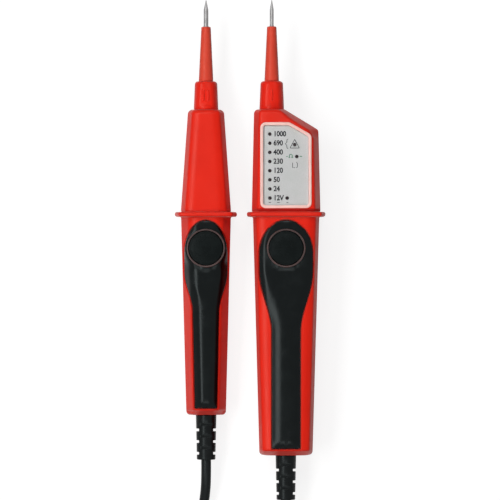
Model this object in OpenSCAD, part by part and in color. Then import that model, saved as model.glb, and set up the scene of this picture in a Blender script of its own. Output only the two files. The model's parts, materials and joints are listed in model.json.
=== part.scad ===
// Two-pole voltage tester: a display handle and a second handle, each with a test pin, joined by one lead.
// Both handles lie on their backs. +Z comes out of their front faces, +Y points along them to the test pins,
// and +X goes from the second handle to the display handle. Lengths are millimetres.
// Along a handle, places are measured from the middle of its finger guard: up to the pin is positive.

/* [Pair] */
// Distance between the axes of the two grips
handle_spacing = 41.6; // [38:0.2:60]

/* [Display handle] */
// Guard to nose
display_head_len = 54.5; // [52:0.5:60]
// Guard to tail
display_grip_len = 125.3; // [122:0.1:140]
// Width of the head at the guard
display_head_w = 35.6; // [34:0.1:37]
// Width of the head at the nose, if its shoulder weren't cut away
display_head_top_w = 33.2; // [32:0.1:35]
// Thickness of the head at the guard
display_head_h = 34.7; // [33:0.1:36]
// Thickness of the head at the nose
display_head_top_h = 24; // [22:0.5:28]
// Width of the grip at the guard
display_grip_w = 34.4; // [33:0.1:36]
// Thickness of the grip at the guard
display_grip_h = 34.2; // [33:0.1:35]
// Width of the grip at the tail
display_tail_w = 27.6; // [27:0.1:32]
// Thickness of the grip at the tail
display_tail_h = 28; // [26:0.5:32]
// Width of the finger guard
display_guard_w = 40.6; // [39.5:0.1:44]
// Thickness of the handle over its finger guard
display_guard_h = 40; // [39:0.1:44]
// How far the pin's axis lies to the left of the grip's axis
display_pin_offset = 7.4; // [6.5:0.1:8]
// Guard to the foot of the sloping shoulder
shoulder_foot = 43.8; // [42:0.1:46]

/* [Second handle] */
// Guard to nose
second_head_len = 54.5; // [52:0.5:60]
// Guard to tail
second_grip_len = 104.5; // [100:0.1:120]
// Width of the head at the guard
second_head_w = 26.2; // [25.5:0.1:28]
// Width of the head at the nose
second_head_top_w = 18.6; // [18:0.1:21]
// Thickness of the head at the guard
second_head_h = 27.2; // [26:0.1:29]
// Thickness of the head at the nose
second_head_top_h = 19; // [18:0.1:22]
// Width of the grip at the guard
second_grip_w = 25.9; // [25.5:0.1:28]
// Thickness of the grip at the guard
second_grip_h = 27; // [26:0.1:28.5]
// Width of the grip at the tail
second_tail_w = 20.6; // [20:0.1:24]
// Thickness of the grip at the tail
second_tail_h = 22; // [21:0.1:25]
// Width of the finger guard
second_guard_w = 32.2; // [31.5:0.1:36]
// Thickness of the handle over its finger guard
second_guard_h = 33.4; // [32.5:0.1:37]

/* [Shells] */
// Wall of the two half shells
wall = 2.5; // [2.2:0.1:3]
// Rounding of the shoulder round the nose
nose_round = 2.3; // [1:0.1:2.8]
// Rounding of the tail's edge
tail_round = 2; // [1:0.1:2.4]
// Thickness of the finger guard
guard_t = 2.4; // [2:0.1:3.5]
// Rounding of the guard's rim
guard_edge = 0.9; // [0.4:0.1:0.95]
// Fillet between guard and handle
guard_fillet = 0.8; // [0.3:0.1:1.2]
// Draft of the guard's faces: how much thicker it is at its root, on each face
guard_draft = 0.1; // [0.05:0.05:0.4]
// Corner rounding of the display handle's head
display_head_round = 4.5; // [3.5:0.1:6]
// Corner rounding of the display handle's grip
display_grip_round = 10; // [8:0.1:10.5]
// Corner rounding of the display handle's guard
display_guard_round = 8; // [7:0.1:10]
// Corner rounding of the second handle's head
second_head_round = 7; // [6:0.1:8]
// Corner rounding of the second handle's grip
second_grip_round = 9; // [7:0.1:9.5]
// Corner rounding of the second handle's guard
second_guard_round = 9; // [8:0.1:11]

/* [Grip inlay] */
// Thickness of the soft inlay
inlay_t = 1.2; // [0.8:0.1:1.6]
// Gap between guard and the inlay's top
inlay_top = 3.2; // [2.5:0.1:4]
// Length of the inlay's arched top
inlay_arch_len = 17.4; // [16:0.1:18.5]
// Widest part on the display handle
display_inlay_w = 27.6; // [25:0.1:28.5]
// Narrow part on the display handle
display_inlay_waist_w = 14.6; // [12:0.1:16]
// Where the display handle's inlay starts to narrow
display_inlay_neck = 29; // [28.5:0.1:32]
// Length over which it narrows
display_inlay_neck_len = 32.2; // [28:0.1:36]
// Bare strip between it and the display handle's tail
display_inlay_end = 3.3; // [2.6:0.1:5]
// Widest part on the second handle
second_inlay_w = 22.4; // [21.6:0.1:23]
// Narrow part on the second handle
second_inlay_waist_w = 13.5; // [12:0.1:14]
// Width at the lower end of the second handle's inlay
second_inlay_end_w = 11.5; // [10:0.1:12]
// Where the second handle's inlay starts to narrow
second_inlay_neck = 30; // [28.5:0.1:31]
// Length over which it narrows
second_inlay_neck_len = 20.8; // [18:0.1:26]
// Bare strip between it and the second handle's tail
second_inlay_end = 3.8; // [2.6:0.1:5]

/* [Buttons] */
// Guard to the middle of the push-button
button_drop = 17.5; // [17:0.1:18]
// Diameter of the push-button
button_d = 18.2; // [17.6:0.1:18.4]
// Outside diameter of the pale ring round it
ring_d = 19.9; // [19.6:0.1:20.1]
// Travel of the push-button
button_travel = 1.3; // [0.8:0.1:1.4]
// How far the button stands out of the grip
button_proud = 0.5; // [0.2:0.1:0.9]
// Depth of the dish in the button
button_dish = 0.6; // [0.2:0.1:0.8]
// Wire diameter of the button spring
spring_wire = 0.7; // [0.5:0.05:0.8]
// Turns of the button spring
spring_turns = 4; // [3:1:5]

/* [Display window] */
// Guard to the window's lower edge, along the front face
window_low = 3; // [2.6:0.1:4]
// Length of the window
window_len = 44.9; // [43:0.1:45.2]
// Left edge, from the grip's axis
window_left = 13.5; // [12.5:0.1:13.6]
// Right edge, from the grip's axis
window_right = 13.2; // [12.5:0.1:13.4]
// Width of the cut corner
window_cut_w = 11.6; // [10:0.1:13]
// Height of the cut corner
window_cut_h = 6.6; // [5.5:0.1:7.5]
// Corner rounding
window_round = 2; // [1:0.1:3]
// Width of the pale surround
window_rim = 1.4; // [1:0.1:1.8]
// Thickness of the clear window
window_t = 1; // [0.8:0.1:1.2]
// Thickness of the scale plate
plate_t = 0.6; // [0.4:0.1:0.8]
// Diameter of the indicator lamps
lamp_d = 1.8; // [1.4:0.1:2]
// Rows of the scale
scale_rows = 8; // [4:1:8]
// Distance from row to row
row_pitch = 4.76; // [4.4:0.02:4.8]

/* [Test pins] */
// Diameter of the display handle's pin
display_pin_d = 2; // [1.6:0.1:2.4]
// Diameter of the second handle's pin
second_pin_d = 2.4; // [1.6:0.1:2.6]
// Bare length of a pin
pin_len = 14; // [12:0.5:20]
// Length of its ground point
point_len = 5.2; // [4:0.1:8]
// Length of the insulating sleeve
sleeve_len = 28.4; // [20:0.1:34]
// Diameter of the sleeve at its top
sleeve_top_d = 4.9; // [4.2:0.1:5.6]
// Diameter of the sleeve at its foot
sleeve_foot_d = 7.6; // [7:0.1:8]
// Length of the nose collar
collar_len = 14.8; // [12:0.1:17]
// Diameter of the collar at its foot
collar_foot_d = 12.8; // [12.2:0.1:13.2]
// Diameter of the collar under its shoulder
collar_top_d = 11.6; // [11:0.1:12]
// Rounding of the collar's shoulder
collar_round = 1.7; // [1:0.1:1.9]

/* [Lead and strain reliefs] */
// Diameter of the lead
lead_d = 5.2; // [5:0.1:5.4]
// Length of a strain relief outside its handle
relief_len = 23.4; // [22.5:0.1:30]
// Its diameter at the handle
relief_root_d = 10.7; // [10.2:0.1:11.5]
// Its diameter at its end
relief_end_d = 9.7; // [9.2:0.1:10.4]
// Distance from slot to slot on one side
slot_pitch = 6.1; // [5.8:0.1:6.3]
// Width of a slot
slot_w = 1.5; // [1:0.1:2]
// Width that the side slots leave
slot_core_w = 7.4; // [7:0.1:8]

/* [Hidden] */
DISPLAY = 0;
SECOND = 1;
$fn = 96;

// One overrun serves every cut
overrun = 1;
// Running and seating clearances
seat_gap = 0.1;
run_gap = 0.06;
// Least flat left between two corner roundings
least_flat = 0.1;
corner_steps = 6;
edge_steps = 3;

// The same sizes, looked up by handle
head_len = [display_head_len, second_head_len];
grip_len = [display_grip_len, second_grip_len];
head_w = [display_head_w, second_head_w];
head_top_w = [display_head_top_w, second_head_top_w];
head_h = [display_head_h, second_head_h];
head_top_h = [display_head_top_h, second_head_top_h];
grip_w = [display_grip_w, second_grip_w];
grip_h = [display_grip_h, second_grip_h];
tail_w = [display_tail_w, second_tail_w];
tail_h = [display_tail_h, second_tail_h];
guard_w = [display_guard_w, second_guard_w];
guard_h = [display_guard_h, second_guard_h];
head_round = [display_head_round, second_head_round];
grip_round = [display_grip_round, second_grip_round];
guard_round = [display_guard_round, second_guard_round];
pin_x = [-display_pin_offset, 0];
pin_d = [display_pin_d, second_pin_d];

// Places of the handles: the pair's box, without its lead, has its middle at the origin and stands on z = 0
pair_w = guard_w[DISPLAY] / 2 + handle_spacing + guard_w[SECOND] / 2;
display_x = pair_w / 2 - guard_w[DISPLAY] / 2;
handle_x = [display_x, display_x - handle_spacing];
tip_y = [for (h = [DISPLAY, SECOND]) head_len[h] + collar_len + sleeve_len + pin_len];
end_y = [for (h = [DISPLAY, SECOND]) -grip_len[h] - relief_len];
guard_y = -(max(tip_y) + min(end_y)) / 2;
axis_z = [for (h = [DISPLAY, SECOND]) guard_h[h] / 2];
tail_z = [for (h = [DISPLAY, SECOND]) tail_h[h] / 2];

function mix(a, b, share) = a + (b - a) * share;
function clamp(v, low, high) = max(low, min(high, v));
function reversed(list) = [for (i = [len(list) - 1:-1:0]) list[i]];

// Half width, top and bottom of a handle at y
function half_w(h, y) = y >= 0
    ? mix(head_w[h], head_top_w[h], y / head_len[h]) / 2
    : mix(grip_w[h], tail_w[h], -y / grip_len[h]) / 2;
function top_z(h, y) = y >= 0
    ? axis_z[h] + mix(head_h[h], head_top_h[h], y / head_len[h]) / 2
    : mix(axis_z[h] + grip_h[h] / 2, tail_h[h], -y / grip_len[h]);
function bottom_z(h, y) = y >= 0
    ? axis_z[h] - mix(head_h[h], head_top_h[h], y / head_len[h]) / 2
    : mix(axis_z[h] - grip_h[h] / 2, 0, -y / grip_len[h]);
function part_z(h, y) = (top_z(h, y) + bottom_z(h, y)) / 2;

// The display handle's shoulder slopes from the collar's foot down to the right side
shoulder_ledge = 0.2;
shoulder_start = pin_x[DISPLAY] + collar_foot_d / 2 + shoulder_ledge;
shoulder_run = (half_w(DISPLAY, shoulder_foot) - shoulder_start) / (head_len[DISPLAY] - shoulder_foot);
shoulder_lean = sqrt(1 + shoulder_run * shoulder_run);
function shoulder_x(y) = shoulder_start + (head_len[DISPLAY] - y) * shoulder_run;
function shoulder_foot_at(inset) = shoulder_foot - inset * (shoulder_lean - 1) / shoulder_run;
// Here the right side's round edge starts to follow the shoulder
shoulder_bend = shoulder_foot_at(head_round[DISPLAY]);

// A section is [left, right, bottom, top, corner radius, reach], where reach is the right corner's width.
// grow swells a section, and inset gives the inside of a wall.
function rounded(left, right, bottom, top, r, reach) =
    let (fit = clamp(r, least_flat, min(right - left, top - bottom) / 2 - least_flat))
    [left, right, bottom, top, fit, clamp(reach, fit, right - left - fit - least_flat)];
function section(h, y, grow = 0, inset = 0) =
    let (
        side = half_w(h, y) + grow - inset,
        right = h == DISPLAY ? min(side, shoulder_x(y) - inset * shoulder_lean) : side,
        r = (y >= 0 ? head_round[h] : grip_round[h]) + grow - inset,
        reach = h == DISPLAY ? right - shoulder_x(y) + (inset + r) * shoulder_lean : r
    )
    rounded(-side, right, bottom_z(h, y) - grow + inset, top_z(h, y) + grow - inset, r, reach);
function guard_section(h, inset) =
    let (w = guard_w[h] / 2 - inset, t = guard_h[h] / 2 - inset)
    rounded(-w, w, axis_z[h] - t, axis_z[h] + t, guard_round[h] - inset, 0);

// Height of a section's front or back face above x
function corner_drop(s, x) =
    let (d = clamp(max((x - s[1]) / s[5], (s[0] - x) / s[4]) + 1, 0, 1))
    s[4] * (1 - sqrt(1 - d * d));
function front_z(h, x, y, inset = 0) =
    let (s = section(h, y, 0, inset)) s[3] - corner_drop(s, x);
function back_z(h, x, y, inset = 0) =
    let (s = section(h, y, 0, inset)) s[2] + corner_drop(s, x);

// Half outlines, both counter-clockwise from -Y, closed along the parting line at height base
function arc(cx, cz, reach, r, y, from) =
    [for (i = [0:corner_steps]) let (a = from + 90 * i / corner_steps) [cx + reach * cos(a), y, cz + r * sin(a)]];
function upper_ring(s, y, base) = concat(
    [[s[1], y, base]],
    arc(s[1] - s[5], s[3] - s[4], s[5], s[4], y, 0),
    arc(s[0] + s[4], s[3] - s[4], s[4], s[4], y, 90),
    [[s[0], y, base]]
);
function lower_ring(s, y, base) = concat(
    [[s[0], y, base]],
    arc(s[0] + s[4], s[2] + s[4], s[4], s[4], y, 180),
    arc(s[1] - s[5], s[2] + s[4], s[5], s[4], y, 270),
    [[s[1], y, base]]
);

// Rings with the same even number of points, in order of y, joined into one closed solid.
// An end is closed rung by rung, so that its faces stay convex.
module loft(rings) {
    n = len(rings[0]);
    last = len(rings) - 1;
    rungs = [for (k = [0:n / 2 - 2]) [k, k + 1, n - 2 - k, n - 1 - k]];
    sides = [
        for (i = [0:last - 1], k = [0:n - 1])
            let (a = i * n + k, b = i * n + (k + 1) % n)
            each [[a, b, b + n], [a, b + n, a + n]]
    ];
    start = [for (rung = rungs) reversed(rung)];
    end = [for (rung = rungs) [for (k = rung) last * n + k]];
    polyhedron(points = [for (ring = rings) each ring], faces = concat(sides, start, end));
}

// Stations along a handle as [y, section], from tail to nose
guard_fillet_share = 0.3;
function rounded_end(h, y, way, r) = [
    for (i = [0:edge_steps])
        let (a = 90 * i / edge_steps, at = y - way * r * (1 - cos(a)))
        [at, section(h, at, r * (sin(a) - 1))]
];
function guard_stations(h) =
    let (
        half = guard_t / 2,
        root = half + guard_draft,
        edge = min(guard_edge, half),
        f = guard_fillet,
        lower = [
            [-root - f, section(h, -root - f)],
            [-root - f * guard_fillet_share, section(h, -root, f * guard_fillet_share)],
            [-root, section(h, -root, f)],
            [-half, guard_section(h, edge)],
            [-half + edge / 2, guard_section(h, edge / 4)],
            [-half + edge, guard_section(h, 0)]
        ],
        upper = [
            [half - edge, guard_section(h, 0)],
            [half - edge / 2, guard_section(h, edge / 4)],
            [half, guard_section(h, edge)],
            [root, section(h, root, f)],
            [root + f * guard_fillet_share, section(h, root, f * guard_fillet_share)],
            [root + f, section(h, root + f)]
        ]
    )
    concat(lower, upper);
function outer_stations(h) = concat(
    rounded_end(h, -grip_len[h], -1, tail_round),
    guard_stations(h),
    h == DISPLAY ? [for (y = [shoulder_bend, shoulder_foot]) [y, section(h, y)]] : [],
    reversed(rounded_end(h, head_len[h], 1, nose_round))
);
function cavity_stations(h) =
    let (
        ys = concat(
            [wall - grip_len[h], -guard_t / 2, guard_t / 2],
            h == DISPLAY ? [shoulder_bend, shoulder_foot_at(wall)] : [],
            [head_len[h] - wall]
        )
    )
    [for (y = ys) [y, section(h, y, 0, wall)]];

module front_half(h) {
    loft([for (s = outer_stations(h)) upper_ring(s[1], s[0], part_z(h, s[0]))]);
}
module front_cavity(h) {
    loft([for (s = cavity_stations(h)) upper_ring(s[1], s[0], part_z(h, s[0]) - overrun)]);
}
module rear_half(h) {
    loft([for (s = outer_stations(h)) lower_ring(s[1], s[0], part_z(h, s[0]))]);
}
module rear_cavity(h) {
    loft([for (s = cavity_stations(h)) lower_ring(s[1], s[0], part_z(h, s[0]) + overrun)]);
}

// A curved slab that follows the front (side 1) or back (side -1) face between two depths
slab_shares = [-1, -0.85, -0.65, -0.35, 0, 0.35, 0.65, 0.85, 1];
function face_z(h, side, x, y, depth) = side > 0
    ? front_z(h, x, y) - depth
    : back_z(h, x, y) + depth;
function slab_ring(h, side, y, half, deep, shallow) =
    let (
        low = side > 0 ? deep : shallow,
        high = side > 0 ? shallow : deep,
        xs = [for (share = slab_shares) share * half]
    )
    concat(
        [for (x = reversed(xs)) [x, y, face_z(h, side, x, y, high)]],
        [for (x = xs) [x, y, face_z(h, side, x, y, low)]]
    );
module slab(h, side, outline, deep, shallow) {
    loft([for (p = outline) slab_ring(h, side, p[0], p[1], deep, shallow)]);
}

// Grip inlay: an elliptic arch over the button, a smooth waist, then a long strip with a square end
inlay_w = [display_inlay_w, second_inlay_w];
inlay_waist_w = [display_inlay_waist_w, second_inlay_waist_w];
inlay_end_w = [display_inlay_waist_w, second_inlay_end_w];
inlay_neck = [display_inlay_neck, second_inlay_neck];
inlay_neck_len = [display_inlay_neck_len, second_inlay_neck_len];
inlay_end = [display_inlay_end, second_inlay_end];
inlay_depth = inlay_t + seat_gap;
arch_angles = [0, 15, 30, 45, 58, 70, 80, 86];
neck_shares = [0, 0.12, 0.25, 0.38, 0.5, 0.62, 0.75, 0.88, 1];
// Outline as [y, half width] from the lower end up, grown by gap all round
function inlay_outline(h, gap) =
    let (
        low = -grip_len[h] + inlay_end[h] - gap,
        arch_y = -inlay_top - inlay_arch_len,
        wide = inlay_w[h] / 2 + gap,
        waist = inlay_waist_w[h] / 2 + gap,
        tail = inlay_end_w[h] / 2 + gap
    )
    concat(
        [[low, tail]],
        [for (share = reversed(neck_shares))
            [-inlay_neck[h] - inlay_neck_len[h] * share, mix(wide, waist, (1 - cos(180 * share)) / 2)]],
        [for (a = arch_angles) [arch_y + (inlay_arch_len + gap) * sin(a), wide * cos(a)]]
    );
land_w = 1;
module button_land(h) {
    intersection() {
        at_button(h) translate([0, 0, -button_well]) cylinder(d = ring_d + 2 * land_w, h = button_well);
        slab(h, 1, inlay_outline(h, 0), inlay_t, -button_well);
    }
}
module grip_inlay(h) {
    color([0.09, 0.09, 0.1])
    difference() {
        union() {
            slab(h, 1, inlay_outline(h, 0), inlay_t, 0);
            button_land(h);
        }
        at_button(h) {
            cylinder(d = ring_d + 2 * run_gap, h = 2 * button_well, center = true);
            translate([0, 0, -2 * button_well])
                cylinder(d = guide_d + 2 * run_gap, h = 2 * button_well - inlay_t);
        }
    }
}

// Boards: the tester's circuit boards lie on ribs of the rear shells, and each pin's conductor on its board
board_t = 1.6;
wire_d = 1.2;
board_top = [for (h = [DISPLAY, SECOND]) axis_z[h] - wire_d / 2];
board_low = [for (h = [DISPLAY, SECOND]) board_top[h] - board_t];

// The push switches on them
switch_w = 6;
switch_h = 3.6;
plunger_d = 3.4;
plunger_proud = 1.8;
plunger_in = 0.3;

// Push-button, its ring, guide, spring and switch share one axis; heights are measured from seat_z
button_y = -button_drop;
seat_z = [for (h = [DISPLAY, SECOND]) top_z(h, button_y)];
button_well = 5;
guide_wall = 0.9;
flange_t = 0.9;
flange_reach = 0.6;
button_roof = 1.6;
button_edge = 0.8;
stem_d = 4;
ring_proud = 0.9;
ring_lip = 0.3;
bore_d = button_d + 2 * run_gap;
guide_d = bore_d + 2 * guide_wall;
module at_button(h) {
    translate([0, button_y, seat_z[h]]) children();
}
module button_guide(h) {
    at_button(h) translate([0, 0, -button_well])
        cylinder(d = guide_d, h = button_well - inlay_depth);
}
// Room for the button's flange under its guide, with its travel
chamber_depth = flange_t + button_travel + 3 * run_gap;
module button_bore(h) {
    at_button(h) {
        cylinder(d = bore_d, h = 2 * head_h[h], center = true);
        translate([0, 0, -inlay_depth]) cylinder(d = ring_d + 2 * run_gap, h = button_well);
        translate([0, 0, -button_well - chamber_depth])
            cylinder(d = bore_d + 2 * flange_reach + 2 * run_gap, h = chamber_depth);
    }
}
module button_ring(h) {
    color([0.62, 0.62, 0.63])
    at_button(h) rotate_extrude()
        polygon([
            [bore_d / 2, -inlay_depth],
            [ring_d / 2, -inlay_depth],
            [ring_d / 2, ring_proud - ring_lip],
            [ring_d / 2 - ring_lip, ring_proud],
            [bore_d / 2 + ring_lip, ring_proud],
            [bore_d / 2, ring_proud - ring_lip]
        ]);
}
stem_z = [for (h = [DISPLAY, SECOND]) board_top[h] + switch_h + plunger_proud - seat_z[h]];
module button(h) {
    r = button_d / 2;
    flange_r = bore_d / 2 + flange_reach;
    flange_top = -button_well - run_gap;
    color([0.07, 0.07, 0.08])
    at_button(h) rotate_extrude()
        polygon(concat(
            [[0, stem_z[h]], [stem_d / 2, stem_z[h]], [stem_d / 2, -button_roof]],
            [[r - guide_wall * 2, -button_roof], [r - guide_wall * 2, flange_top - flange_t]],
            [[flange_r, flange_top - flange_t], [flange_r, flange_top], [r, flange_top]],
            [for (i = [0:edge_steps]) let (a = 90 * i / edge_steps)
                [r - button_edge + button_edge * cos(a), button_proud - button_edge + button_edge * sin(a)]],
            [for (i = [edge_steps:-1:0]) let (share = i / edge_steps)
                [(r - 2 * button_edge) * share, button_proud - button_dish * (1 - share * share)]]
        ));
}

// Push switch on the board and the plunger that the button's stem pushes into it
module push_switch(h) {
    color([0.16, 0.16, 0.17])
    translate([0, button_y, board_top[h]])
        difference() {
            translate([-switch_w / 2, -switch_w / 2, 0]) cube([switch_w, switch_w, switch_h]);
            translate([0, 0, switch_h - plunger_in - button_travel - run_gap])
                cylinder(d = plunger_d + 2 * run_gap, h = switch_h);
        }
}
module switch_plunger(h) {
    color([0.75, 0.72, 0.66])
    translate([0, button_y, board_top[h] + switch_h - plunger_in])
        cylinder(d = plunger_d, h = plunger_proud + plunger_in);
}

// Helix or any other path as a closed tube; ups gives the direction across it that a ring keeps
function unit(v) = v / norm(v);
function heading(points, i) =
    unit(points[min(i + 1, len(points) - 1)] - points[max(i - 1, 0)]);
function tube_ring(point, along, r, sides) =
    let (across = unit(cross(along, [0, 0, 1])), up = cross(across, along))
    [for (k = [0:sides - 1]) let (a = 360 * (k + 0.5) / sides) point + r * (cos(a) * across + sin(a) * up)];
module tube(points, headings, d, sides) {
    loft([for (i = [0:len(points) - 1]) tube_ring(points[i], headings[i], d / 2, sides)]);
}
spring_sides = 6;
spring_steps = 8;
module button_spring(h) {
    low = board_top[h] + spring_wire / 2 + run_gap;
    high = seat_z[h] - button_roof - spring_wire / 2 - run_gap;
    mean_d = stem_d + switch_w + 2 * spring_wire;
    steps = spring_turns * spring_steps;
    points = [for (i = [0:steps]) let (a = 360 * i / spring_steps)
        [mean_d / 2 * cos(a), button_y + mean_d / 2 * sin(a), mix(low, high, i / steps)]];
    color([0.75, 0.75, 0.77])
    tube(points, [for (i = [0:steps]) heading(points, i)], spring_wire, spring_sides);
}

// Outline of a board: it leaves the bosses of the case screws free
board_gap = 0.6;
// The display handle's board ends where its battery bay begins
bay_up = 21.9;
cell_len = 43.8;
cell_pip_t = 0.7;
contact_t = 0.6;
bay_len = cell_len + cell_pip_t + 2 * contact_t + 2 * seat_gap;
bay_low = bay_up - grip_len[DISPLAY];
bay_high = bay_low + bay_len;
board_high_y = [38, 38];
board_low_y = [bay_high, -60];
neck_gap = 0.5;
boss_d = 5.8;
boss_skin = 0.6;
screw_d = 2.5;
screw_head_d = 4.2;
screw_head_t = 1.6;
screw_len = [14, 10];
head_boss_y = [-4, 44];
tail_boss_up = [7.8, 12];
head_boss_x = [8.6, 5.1];
tail_boss_x = [8.6, 5.9];
function boss_places(h) = [
    for (side = [-1, 1])
        each [[side * head_boss_x[h], head_boss_y[h]], [side * tail_boss_x[h], tail_boss_up[h] - grip_len[h]]]
];
function board_half(h, y) = half_w(h, y) - wall - board_gap;
module board(h) {
    neck = head_boss_x[h] - boss_d / 2 - neck_gap;
    neck_low = head_boss_y[h] - boss_d / 2 - neck_gap;
    neck_high = head_boss_y[h] + boss_d / 2 + neck_gap;
    right = h == DISPLAY
        ? [
            [board_half(h, board_low_y[h]), board_low_y[h]],
            [board_half(h, board_low_y[h]), neck_low],
            [neck, neck_low],
            [neck, neck_high],
            [board_half(h, board_high_y[h]), neck_high],
            [board_half(h, board_high_y[h]), board_high_y[h]]
        ]
        : [
            [board_half(h, board_low_y[h]), board_low_y[h]],
            [board_half(h, board_low_y[h]), button_y - bore_d / 2],
            [board_half(h, board_high_y[h]), button_y - bore_d / 2],
            [board_half(h, board_high_y[h]), board_high_y[h]]
        ];
    color([0.1, 0.35, 0.18])
    translate([0, 0, board_low[h]])
        linear_extrude(board_t)
            polygon(concat(right, reversed([for (p = right) [-p[0], p[1]]])));
}
rib_w = 12;
rib_t = 2;
rib_inset = 4;
module board_ribs(h) {
    for (y = [board_low_y[h] + rib_inset, board_high_y[h] - rib_inset])
        translate([-rib_w / 2, y - rib_t / 2, bottom_z(h, y) + wall / 2])
            cube([rib_w, rib_t, board_low[h] - bottom_z(h, y) - wall / 2]);
}

// Screws through the rear shell's bosses into the front shell's
screw_grip = 6;
function screw_seat_z(h, y) = part_z(h, y) - screw_grip;
module front_bosses(h) {
    for (p = boss_places(h))
        translate([p[0], p[1], part_z(h, p[1])])
            cylinder(d = boss_d, h = front_z(h, abs(p[0]) + boss_d / 2, p[1]) - boss_skin - part_z(h, p[1]));
}
module rear_bosses(h) {
    for (p = boss_places(h))
        let (low = back_z(h, abs(p[0]) + boss_d / 2, p[1]) + boss_skin)
            translate([p[0], p[1], low]) cylinder(d = boss_d, h = part_z(h, p[1]) - low);
}
module screw_holes(h) {
    for (p = boss_places(h)) translate([p[0], p[1], 0]) {
        translate([0, 0, -overrun])
            cylinder(d = screw_head_d + 2 * seat_gap, h = screw_seat_z(h, p[1]) + overrun);
        cylinder(d = screw_d + 2 * run_gap, h = part_z(h, p[1]) + overrun);
    }
}
module pilot_holes(h) {
    for (p = boss_places(h)) translate([p[0], p[1], part_z(h, p[1]) - overrun])
        cylinder(d = screw_d + 2 * run_gap, h = screw_len[h] - screw_grip + seat_gap + overrun);
}
module case_screws(h) {
    color([0.7, 0.7, 0.72])
    for (p = boss_places(h)) translate([p[0], p[1], screw_seat_z(h, p[1])]) {
        cylinder(d = screw_d, h = screw_len[h]);
        translate([0, 0, -screw_head_t]) cylinder(d = screw_head_d, h = screw_head_t);
    }
}

// Along the handle: children's +Z turns to +Y (towards the pin) or to -Y (towards the lead)
module toward_pin(h, y) {
    translate([pin_x[h], y, axis_z[h]]) rotate([-90, 0, 0]) children();
}
module toward_lead(h, y) {
    translate([0, y, tail_z[h]]) rotate([90, 0, 0]) children();
}

// Nose: collar with a spigot through the shells' front wall, its seal, the sleeve and the pin
spigot_d = 9.2;
nose_flange_d = 11.4;
nose_flange_t = 1.6;
seal_groove = 0.7;
seal_w = 1.4;
socket_d = 5.8;
socket_depth = 6;
pin_rear = 5;
// A pin's shank is a little thicker than its bare end, and stands a little out of the sleeve
shank_more = 0.5;
shank_proud = 0.5;
shank_d = [for (h = [DISPLAY, SECOND]) pin_d[h] + shank_more];
collar_lip = 0.3;
// The collar's front has a flat face, which ends at a ledge above the handle
collar_face_share = 0.91;
collar_ledge = 1.7;
module nose_collar(h) {
    foot = collar_foot_d / 2;
    top = collar_top_d / 2;
    low = -wall;
    color([0.86, 0.15, 0.12])
    toward_pin(h, head_len[h]) difference() {
        rotate_extrude() polygon(concat(
            [[0, low - nose_flange_t], [nose_flange_d / 2, low - nose_flange_t]],
            [[nose_flange_d / 2, low - seat_gap], [spigot_d / 2, low - seat_gap]],
            [[spigot_d / 2, (low - seal_w) / 2], [spigot_d / 2 - seal_groove, (low - seal_w) / 2]],
            [[spigot_d / 2 - seal_groove, (low + seal_w) / 2], [spigot_d / 2, (low + seal_w) / 2]],
            [[spigot_d / 2, seat_gap], [foot - collar_lip, seat_gap], [foot, seat_gap + collar_lip]],
            [for (i = [0:edge_steps]) let (a = 90 * i / edge_steps)
                [top - collar_round + collar_round * cos(a), collar_len - collar_round + collar_round * sin(a)]],
            [[0, collar_len]]
        ));
        translate([0, 0, collar_len - socket_depth])
            cylinder(d = socket_d + 2 * run_gap, h = socket_depth + overrun);
        translate([0, 0, low - nose_flange_t - overrun])
            cylinder(d = shank_d[h] + 2 * run_gap, h = wall + nose_flange_t + collar_len + 2 * overrun);
        translate([-foot, -2 * foot - top * collar_face_share, collar_ledge])
            cube([2 * foot, 2 * foot, collar_len]);
    }
}
module nose_seal(h) {
    groove_r = spigot_d / 2 - seal_groove;
    hole_r = spigot_d / 2 + seat_gap;
    color([0.1, 0.1, 0.1])
    toward_pin(h, head_len[h] - wall / 2) rotate_extrude()
        translate([(groove_r + hole_r) / 2, 0]) circle(r = (hole_r - groove_r) / 2 - run_gap / 2);
}
sleeve_edge = 0.5;
module pin_sleeve(h) {
    color([0.86, 0.2, 0.14])
    toward_pin(h, head_len[h] + collar_len) difference() {
        rotate_extrude() polygon(concat(
            [[0, seat_gap - socket_depth], [socket_d / 2, seat_gap - socket_depth]],
            [[socket_d / 2, 0], [sleeve_foot_d / 2, 0]],
            [for (i = [0:edge_steps]) let (a = 90 * i / edge_steps)
                [sleeve_top_d / 2 - sleeve_edge * (1 - cos(a)), sleeve_len - sleeve_edge * (1 - sin(a))]],
            [[0, sleeve_len]]
        ));
        translate([0, 0, -socket_depth - overrun])
            cylinder(d = shank_d[h] + 2 * run_gap, h = sleeve_len + socket_depth + 2 * overrun);
    }
}
point_share = 0.12;
module test_pin(h) {
    from = wall + nose_flange_t + pin_rear;
    long = from + collar_len + sleeve_len + pin_len;
    color([0.72, 0.73, 0.75])
    toward_pin(h, head_len[h] - from) {
        cylinder(d = shank_d[h], h = long - pin_len + shank_proud);
        translate([0, 0, long - pin_len]) cylinder(d = pin_d[h], h = pin_len - point_len);
        translate([0, 0, long - point_len])
            cylinder(r1 = pin_d[h] / 2, r2 = pin_d[h] / 2 * point_share, h = point_len);
    }
}
// Conductor from the pin to the board, with the ferrule that grips the pin's rear end
ferrule_d = 3.6;
ferrule_len = 4;
module pin_conductor(h) {
    top = head_len[h] - wall - nose_flange_t;
    low = board_high_y[h] - rib_inset / 2;
    color([0.72, 0.45, 0.2])
    difference() {
        union() {
            toward_pin(h, top - pin_rear - ferrule_len / 2) cylinder(d = ferrule_d, h = ferrule_len);
            toward_pin(h, low) cylinder(d = wire_d, h = top - pin_rear - low);
        }
        toward_pin(h, top - pin_rear) cylinder(d = shank_d[h] + run_gap, h = ferrule_len);
    }
}

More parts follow.
